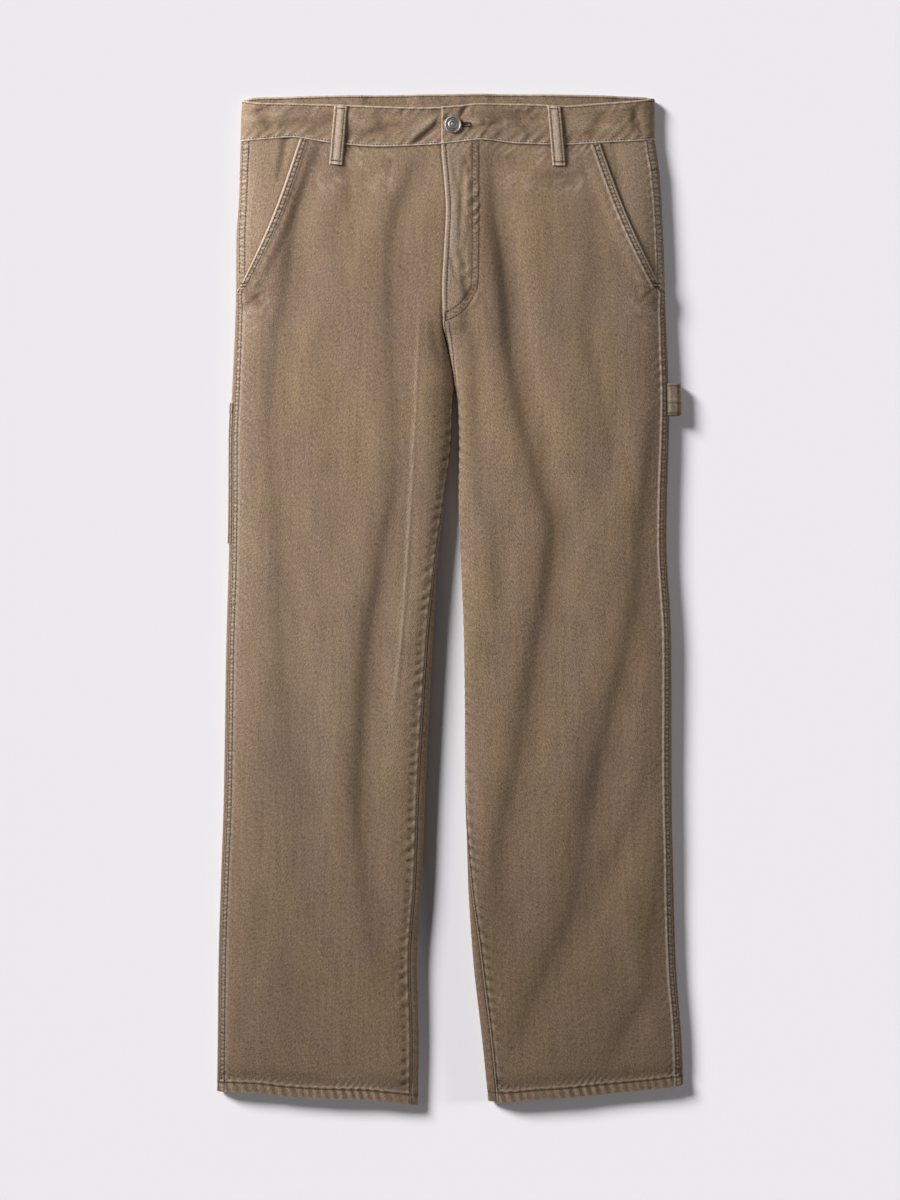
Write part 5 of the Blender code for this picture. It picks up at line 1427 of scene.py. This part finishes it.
levels = np.linspace(HAMMER_TOP, HAMMER_BOTTOM, 33)
lines = []
for level in levels:
    line = hammer_loop_path(level)
    share = np.linspace(0.0, 1.0, 97)
    grown = np.concatenate(([0.0], np.cumsum(np.linalg.norm(np.diff(line, axis=0), axis=1))))
    lines.append([np.interp(share * grown[-1], grown, line[:, axis]) for axis in (0, 1)])
lines = np.array(lines)
slope = np.gradient(lines, axis=2)
slope = slope / np.linalg.norm(slope, axis=1, keepdims=True)
run = share * grown[-1] + 0.0 * levels[:, None]
half_height = (HAMMER_TOP - HAMMER_BOTTOM) / 2
aside = levels[:, None] - (HAMMER_TOP + HAMMER_BOTTOM) / 2 + 0.0 * run
height, marks = strap_marks(aside, np.minimum(run, grown[-1] - run), half_height, run)
height = height - 0.4 * bell(aside, 3.4)
marks["worn"] = marks["worn"] - 0.5 * bell(aside, 2.8)
marks["worn"] = marks["worn"] + 0.35 * bell(run - 9.0, 1.2) + 0.3 * bell(run - 1.0, 1.0)
# Painted shade: the hammer loop stands off the side of the leg that faces away from the lamp and is
# painted darker all over; it also gets a dark line below its middle and one near where it turns
marks["deep"] = marks["deep"] + 0.4 * bell(run - 11.5, 1.4) + 0.7 * bell(aside + 3.5, 0.9) + 0.42


def strap_face(off):
    """Points of the hammer loop at a distance off its middle line, none below the surface."""
    off_x = lines[:, 0] - slope[:, 1] * off
    off_z = np.maximum(lines[:, 1] + slope[:, 0] * off, 0.0)
    return np.stack((off_x, levels[:, None] + 0.0 * off, off_z), axis=-1)


outer = strap_face(HAMMER_THICKNESS / 2 + height)
under = strap_face(-HAMMER_THICKNESS / 2 + 0.0 * height)
piece = cloth("thigh_loop", outer, under, aside, run, marks, loop_denim)
laid(piece, "hammer_loop")


# Button: a shank button of antiqued metal, a ringed cap with a rope-like row of plain beads in
# its groove, turned and riveted through the lower end of the waistband
SHANK_RADIUS = 2.3
# The cap from its seat to near the middle of its face: radius, height over the seat, darkness
BUTTON_OUTLINE = (
    (7.8, 0, 0.3), (8.6, 0.4, 0), (9, 1, 0), (9, 1.6, 0), (8.7, 2.1, 0), (8.1, 2.35, 0),
    (7.5, 2.25, 0.2), (7.1, 1.85, 0.7), (6.7, 1.65, 0.9), (5.9, 1.6, 0.9), (5.3, 1.7, 0.8),
    (4.9, 2, 0.4), (4.5, 2.3, 0.1), (4, 2.45, 0.1), (3.4, 2.3, 0.6), (2.8, 2.2, 0.8),
    (2.2, 2.35, 0.5), (1.6, 2.6, 0.15), (0.8, 2.7, 0.2),
)
CAP_TOP = 2.72
SEGMENTS = 72
BEADS = 44
BEAD_SIDES = 6
BEAD_CIRCLE = 6.1
BEAD_HEIGHT = 1.78
# The outline of one bead: its radius and its height over the bead's middle
BEAD_OUTLINE = ((0.0, 0.42), (0.36, 0.22), (0.40, -0.10), (0.0, -0.3))
metal = bpy.data.materials.new("antiqued_metal")
metal.use_nodes = True
tree = metal.node_tree
shader = tree.nodes["Principled BSDF"]
place = add_node(tree, "TexCoord", {}).outputs["Object"]
patina = add_node(tree, "TexNoise", {"Vector": place, "Scale": 700.0, "Detail": 4.0}).outputs[0]
dark = add_node(tree, "Attribute", {}, attribute_name="deep").outputs["Fac"]
dull = {"Value": patina, "From Min": 0.38, "From Max": 0.64, "To Max": 0.7}
dull = add_node(tree, "MapRange", dull).outputs[0]
dull = add_node(tree, "Math", {0: dull, 1: dark}, operation="ADD", use_clamp=True).outputs[0]
tint = {0: dull, 6: (0.56, 0.54, 0.515, 1.0), 7: (0.13, 0.12, 0.11, 1.0)}
tint = add_node(tree, "Mix", tint, data_type="RGBA").outputs[2]
tree.links.new(tint, shader.inputs["Base Color"])
shader.inputs["Metallic"].default_value = 1.0
shader.inputs["Roughness"].default_value = 0.55


def turned_shape(radius, tall, first, last, sides):
    """Points and faces of a turned shape: rings of the given radii and heights, closed at both
    ends by a point on the axis. The faces look outwards where the outline runs upwards."""
    angles = np.linspace(0.0, 2.0 * math.pi, sides, endpoint=False)
    rings = np.stack((
        radius[:, None] * np.cos(angles), radius[:, None] * np.sin(angles),
        tall[:, None] + 0.0 * angles,
    ), axis=-1).reshape(-1, 3)
    points = np.concatenate((rings, [(0.0, 0.0, first), (0.0, 0.0, last)]))
    index = np.arange(len(rings)).reshape(-1, sides)
    ahead = np.roll(index, -1, axis=1)
    faces = np.stack((index[:-1], ahead[:-1], ahead[1:], index[1:]), axis=-1).reshape(-1, 4).tolist()
    first_ring = zip(index[0].tolist(), ahead[0].tolist())
    last_ring = zip(index[-1].tolist(), ahead[-1].tolist())
    faces += [[len(rings), after, here] for here, after in first_ring]
    faces += [[len(rings) + 1, here, after] for here, after in last_ring]
    return points, faces


button_out = BAND_PROUD + BAND_THICKNESS + SEAM_GAP
band_face = placed("left", BUTTON_Y, reach_at("left", BUTTON_Y, BUTTON_X), button_out)[2]
foot = band_face - BAND_THICKNESS
seat = band_face + SEAM_GAP
radius, tall, shade = np.array(BUTTON_OUTLINE).T
radius = np.concatenate(([SHANK_RADIUS, SHANK_RADIUS], radius))
tall = np.concatenate(([foot, seat], seat + tall))
shade = np.concatenate(([0.5, 0.5], shade))
points, faces = turned_shape(radius, tall, foot, seat + CAP_TOP, SEGMENTS)
points = points + (BUTTON_X, BUTTON_Y, 0.0)
shades = np.concatenate((np.repeat(shade, SEGMENTS), (0.5, 0.1)))
(_, bead_top), *bead_rings, (_, bead_foot) = BEAD_OUTLINE
bead_radius, bead_tall = np.array(bead_rings[::-1]).T
bead, bead_faces = turned_shape(bead_radius, bead_tall, bead_foot, bead_top, BEAD_SIDES)
for turn in np.linspace(0.0, 2.0 * math.pi, BEADS, endpoint=False):
    middle_x = BUTTON_X + BEAD_CIRCLE * math.cos(turn)
    middle_y = BUTTON_Y + BEAD_CIRCLE * math.sin(turn)
    faces += [[len(points) + corner for corner in face] for face in bead_faces]
    points = np.concatenate((points, bead + (middle_x, middle_y, seat + BEAD_HEIGHT)))
    shades = np.concatenate((shades, np.full(len(bead), 0.1)))
piece = add_piece("shank_button", points, faces, metal, sharp=50.0)
piece.data.attributes.new("deep", "FLOAT", "POINT").data.foreach_set("value", shades)
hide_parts("button")
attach(piece, "root")


# Stitching: dark reddish-brown cotton thread. Every seam and edge is topstitched with stitches
# of about 3 mm; tacks and the keyhole's rim are satin stitches set close together, crosswise.
STITCH_PITCH = 3.3
STITCH_SIZE = (2.7, 1.05, 0.60)
SATIN_PITCH = 0.6
SATIN_SIZE = (0.55, 0.45)
SATIN_TACK = 1.6


def plain_finish(name, colour, roughness, specular):
    """A material of one colour all over."""
    material = bpy.data.materials.new(name)
    material.use_nodes = True
    shader = material.node_tree.nodes["Principled BSDF"]
    shader.inputs["Base Color"].default_value = (*colour, 1.0)
    shader.inputs["Roughness"].default_value = roughness
    shader.inputs["Specular IOR Level"].default_value = specular
    return material


thread = plain_finish("brown_thread", (0.080, 0.040, 0.023), 0.75, 0.25)

# One stitch: a point at each end and three rings of four between, the middle one the largest
STITCH_RINGS = ((-0.34, 0.8, 0.6), (0.0, 1.0, 1.0), (0.34, 0.8, 0.6))
STITCH_CORNERS = ((1.0, 0.2), (0.0, 1.0), (-1.0, 0.2), (0.0, -0.6))
STITCH_POINTS = np.array(
    [(-0.5, 0.0, -0.3)]
    + [
        (along, 0.5 * wide * side, tall * up)
        for along, wide, tall in STITCH_RINGS for side, up in STITCH_CORNERS
    ]
    + [(0.5, 0.0, -0.3)]
)
STITCH_FACES = [[0, 1 + (k + 1) % 4, 1 + k] for k in range(4)]
STITCH_FACES += [
    [1 + 4 * ring + k, 1 + 4 * ring + (k + 1) % 4, 5 + 4 * ring + (k + 1) % 4, 5 + 4 * ring + k]
    for ring in range(2) for k in range(4)
]
STITCH_FACES += [[13, 9 + k, 9 + (k + 1) % 4] for k in range(4)]


def row_on(points, normals, satin=0.0):
    """Middles and axes of the stitches of one row: at an even pitch along it, or close together
    and crosswise where they are satin of the length given."""
    pitch = SATIN_PITCH if satin else STITCH_PITCH
    size = (satin, *SATIN_SIZE) if satin else STITCH_SIZE
    grown = np.concatenate(([0.0], np.cumsum(np.linalg.norm(np.diff(points, axis=0), axis=1))))
    at = np.arange(pitch / 2, grown[-1], pitch)

    def along_row(values, places):
        """Values of the row's points, read at lengths along it."""
        return np.stack([np.interp(places, grown, values[:, axis]) for axis in range(3)], axis=1)

    middles = along_row(points, at)
    up = along_row(normals, at)
    along = along_row(points, at + 0.8) - along_row(points, at - 0.8)
    along = along / np.linalg.norm(along, axis=1, keepdims=True)
    up = up - along * np.sum(up * along, axis=1, keepdims=True)
    up = up / np.linalg.norm(up, axis=1, keepdims=True)
    aside = np.cross(up, along)
    if satin:
        along, aside = aside, -along
    axes = np.stack((along * size[0], aside * size[1], up * size[2]), axis=1)
    return middles, axes


def add_stitches(name, rows):
    """All the stitches of some rows as one piece."""
    middles = np.concatenate([row[0] for row in rows])
    axes = np.concatenate([row[1] for row in rows])
    points = middles[:, None, :] + np.einsum("vc,nck->nvk", STITCH_POINTS, axes)
    points[..., 2] = np.maximum(points[..., 2], 0.0)
    count = len(STITCH_POINTS)
    faces = []
    for stitch in range(len(middles)):
        faces += [[stitch * count + corner for corner in face] for face in STITCH_FACES]
    piece = add_piece(name, points.reshape(-1, 3), faces, thread)
    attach(piece, "root")


def sewn(surface, side, y, reach, satin=0.0):
    """A row of stitches on one of the surfaces above, at the heights and reaches given."""
    y, reach = together(y, reach)
    points = surface(side, y[None], reach[None])[0]
    return row_on(points[0], outward(side, y, reach), satin)


for body_side in SIGN:
    down = np.arange(WAIST_SEAM - 1.0, HEM + 11.0, -3.0)
    first, last = front_edges(body_side, down)
    low = down < CROTCH - 3.0
    hem_row = HEM + HEM_ROW
    start, end = front_edges(body_side, hem_row)
    rows = [
        sewn(front_surface, body_side, down, first + edge_row(down)),
        sewn(front_surface, body_side, down, first + fell_width(down) - EDGE_ROW),
        sewn(front_surface, body_side, down[low], last[low] - 2.0),
        sewn(front_surface, body_side, hem_row, np.linspace(start + 0.5, end - 0.5, 200)),
    ]
    tip = front_edges(body_side, np.array(SLANT_TIP_Y + 2.0))[0]
    for step in (2.0, 5.4):
        tack = np.linspace(tip + 1.0, tip + 8.0, 12)
        rows.append(sewn(front_surface, body_side, SLANT_TIP_Y + step, tack, satin=SATIN_TACK))
    beside_facing = np.arange(WAIST_SEAM - 1.0, SLANT_TIP_Y + 14.0, -3.0)
    seam = read(LEGS[body_side], "side_seam", beside_facing) + SEAM_GAP / 2
    for gap in (EDGE_ROW, FACING_ROW):
        rows.append(sewn(facing_surface, body_side, beside_facing, seam + gap))
    if body_side == "left":
        fly = down > FLY_END + 6.0
        rows.append(sewn(front_surface, body_side, down[fly], last[fly] - FLY_EDGE_ROW))
        for path in FLY_ROWS:
            x, y = smooth_path(path, 3.0).T
            below = y < WAIST_SEAM - 1.0
            x, y = x[below], y[below]
            rows.append(sewn(front_surface, body_side, y, reach_at(body_side, y, x)))
        in_seat = (down < FLY_END) & (down > CROTCH + 3.0)
        for gap in CROTCH_ROWS:
            rows.append(sewn(front_surface, body_side, down[in_seat], last[in_seat] - gap))
        tack = np.linspace(FLY_END + 7.0, FLY_END - 1.0, 10)
        middle = front_edges(body_side, tack)[1] - 3.0
        rows.append(sewn(front_surface, body_side, tack, middle, satin=2.6))
    add_stitches("front_stitching_" + body_side, rows)

    start, end = back_edges(body_side, np.array(hem_row))
    rows = [sewn(back_surface, body_side, hem_row, np.linspace(start - 0.5, end + 0.5, 220))]
    share = np.linspace(0.0, 1.0, 120)
    for drop in (2.6, 8.0):
        seam = yoke_seam(share) - drop
        start, end = back_edges(body_side, seam)
        rows.append(sewn(back_surface, body_side, seam, start + (end - start) * share))
    add_stitches("back_stitching_" + body_side, rows)

rows = []
for body_side in SIGN:
    for level in (BAND_TOP - BAND_ROWS[1], WAIST_SEAM + BAND_ROWS[0]):
        start = float(length_over(body_side, "front", level)) - 2.0
        end = 3.0 - float(length_over(body_side, "back", level))
        reach = np.linspace(start, end, 420)
        outer, inner, _ = band_surface(body_side, level, reach[None])
        normals = outward(body_side, level, reach)
        rows.append(row_on(outer[0], normals))
        behind = reach < 12.0
        rows.append(row_on(inner[0][behind], -normals[behind]))
# The keyhole: along its upper lip, round its end and back along its lower lip
SLIT_LIP = 2.0
SLIT_CLEAR = 4.0
turn = np.linspace(0.0, 1.0, 60)
slit_end = BUTTON_X + SLIT_LENGTH
x = np.concatenate((
    BUTTON_X + SLIT_CLEAR + (SLIT_LENGTH - SLIT_CLEAR) * turn,
    slit_end + SLIT_LIP * np.sin(math.pi * turn),
    slit_end - (SLIT_LENGTH - SLIT_CLEAR) * turn,
))
y = BUTTON_Y + np.concatenate((
    SLIT_LIP + 0.0 * turn, SLIT_LIP * np.cos(math.pi * turn), 0.0 * turn - SLIT_LIP,
))
level = y + slit_drop(x)
rows.append(sewn(band_surface, "left", level, reach_at("left", level, x), satin=1.9))
add_stitches("waist_stitching", rows)

rows = []
for body_side in SIGN:
    top_x = FRONT_LOOPS[body_side][0]
    levels = np.linspace(LOOP_TOP - 5.0, LOOP_FOOT + 5.0, 60)
    for off in (LOOP_ROW - LOOP_WIDTH / 2, LOOP_WIDTH / 2 - LOOP_ROW):
        outer, _, _ = front_loop_surface(body_side, levels[None], off)
        rows.append(row_on(outer[0], outward(body_side, levels, reach_at(body_side, levels, top_x))))
    for level in (LOOP_TOP - 3.4, LOOP_FOOT + 3.8):
        line = np.linspace(-5.4, 5.4, 16)
        outer, _, _ = front_loop_surface(body_side, level, line[None])
        normal = outward(body_side, level, reach_at(body_side, level, top_x))
        rows.append(row_on(outer[0], np.tile(normal, (16, 1)), satin=1.3))
add_stitches("loop_stitching", rows)


def pocket_row(y, reach):
    """A row of stitches on the tool pocket."""
    y, reach = together(y, reach)
    return row_on(placed("right", y, reach, SEAM_GAP + DENIM), outward("right", y, reach))


down = np.linspace(TOOL_TOP - 2.0, TOOL_BOTTOM + 2.0, 60)
across = np.linspace(TOOL_WRAP - 2.0, -14.0, 30)
rows = [pocket_row(down, TOOL_WRAP - gap) for gap in PATCH_ROWS]
rows += [pocket_row(TOOL_TOP - gap, across) for gap in PATCH_HEM_ROWS]
rows += [pocket_row(TOOL_BOTTOM + gap, across) for gap in PATCH_ROWS]
for body_side in SIGN:
    for inset in PATCH_ROWS:
        line = [(POCKET_INNER + inset, POCKET_TOP - 2.0)]
        for share in (0.0, 0.5, 1.0):
            towards = POCKET_INNER + inset + (POCKET_WIDTH - 2.0 * inset) * share
            line.append((towards, foot_of_pocket(share) + inset))
        line.append((POCKET_INNER + POCKET_WIDTH - inset, POCKET_TOP - 2.0))
        x, y = np.concatenate([
            np.linspace(begin, end, 40) for begin, end in zip(line[:-1], line[1:])
        ]).T
        points = np.stack((SIGN[body_side] * x, y, 0.25 + 0.0 * x), axis=1)
        rows.append(row_on(points, np.tile((0.0, 0.0, -1.0), (len(points), 1))))
add_stitches("pocket_stitching", rows)


# Floor, light and camera: a plain pale floor. A broad lamp from the upper left and a weak fill
# from the wall light the garment alone; a sun from the upper left and a low fill from the right
# light the floor alone, and only the left leg holds that fill off, so the gap stays in shade.
LIGHT_FROM = (-0.80, 0.60, 0.466)
LAMP_DISTANCE = 1.95
FLOOR_SIZE = 8000.0
FLOOR_DROP = 0.3
half = FLOOR_SIZE / 2
corners = np.array(((-half, -half), (half, -half), (half, half), (-half, half)))
corners = np.column_stack((corners, np.full(4, -FLOOR_DROP)))
pale = plain_finish("pale_floor", (0.800, 0.786, 0.812), 0.9, 0.1)
ground = add_piece("ground", corners, [(0, 1, 2, 3)], pale)
ground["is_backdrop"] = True

floor_only = bpy.data.collections.new("floor_only")
floor_only.objects.link(ground)
all_but_floor = bpy.data.collections.new("all_but_floor")
all_but_floor.objects.link(ground)
all_but_floor.collection_objects[0].light_linking.link_state = "EXCLUDE"
left_leg_only = bpy.data.collections.new("left_leg_only")
for name in ("front_leg_left", "back_leg_left"):
    left_leg_only.objects.link(bpy.data.objects[name])


def add_lamp(name, kind, energy, light_from, lights):
    """A lamp that shines from a direction, on what a collection says alone."""
    light = bpy.data.lights.new(name, kind)
    light.energy = energy
    lamp = bpy.data.objects.new(name, light)
    lamp.rotation_mode = "QUATERNION"
    lamp.rotation_quaternion = Vector(light_from).to_track_quat("Z", "Y")
    lamp.light_linking.receiver_collection = lights
    bpy.context.scene.collection.objects.link(lamp)
    return lamp


sun = add_lamp("floor_sun", "SUN", 6.25, LIGHT_FROM, floor_only)
sun.data.angle = math.radians(17.0)
broad = add_lamp("broad_lamp", "AREA", 60.0, LIGHT_FROM, all_but_floor)
broad.data.shape = "DISK"
broad.data.size = 0.85
broad.location = Vector(LIGHT_FROM).normalized() * LAMP_DISTANCE
fill = add_lamp("wall_fill", "SUN", 0.8, (0.85, -0.15, 0.5), all_but_floor)
fill.data.angle = math.radians(70.0)
low_fill = add_lamp("floor_fill", "SUN", 2.4, (0.98, 0.05, 0.17), floor_only)
low_fill.data.angle = math.radians(12.0)
low_fill.light_linking.blocker_collection = left_leg_only
world = bpy.data.worlds.new("soft_room")
world.use_nodes = True
backdrop = world.node_tree.nodes["Background"]
backdrop.inputs["Color"].default_value = (1.0, 1.0, 1.0, 1.0)
backdrop.inputs["Strength"].default_value = 0.07
bpy.context.scene.world = world
bpy.context.scene.view_settings.view_transform = "Standard"

CAMERA_HEIGHT = 3.3
PICTURE_HEIGHT = 1.296
SENSOR_HEIGHT = 36.0
camera = bpy.data.cameras.new("overhead")
camera.sensor_fit = "VERTICAL"
camera.sensor_height = SENSOR_HEIGHT
camera.lens = SENSOR_HEIGHT * CAMERA_HEIGHT / PICTURE_HEIGHT
overhead = bpy.data.objects.new("overhead", camera)
overhead.location = (0.0, -0.0005, CAMERA_HEIGHT)
bpy.context.scene.collection.objects.link(overhead)
bpy.context.scene.camera = overhead

low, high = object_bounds()
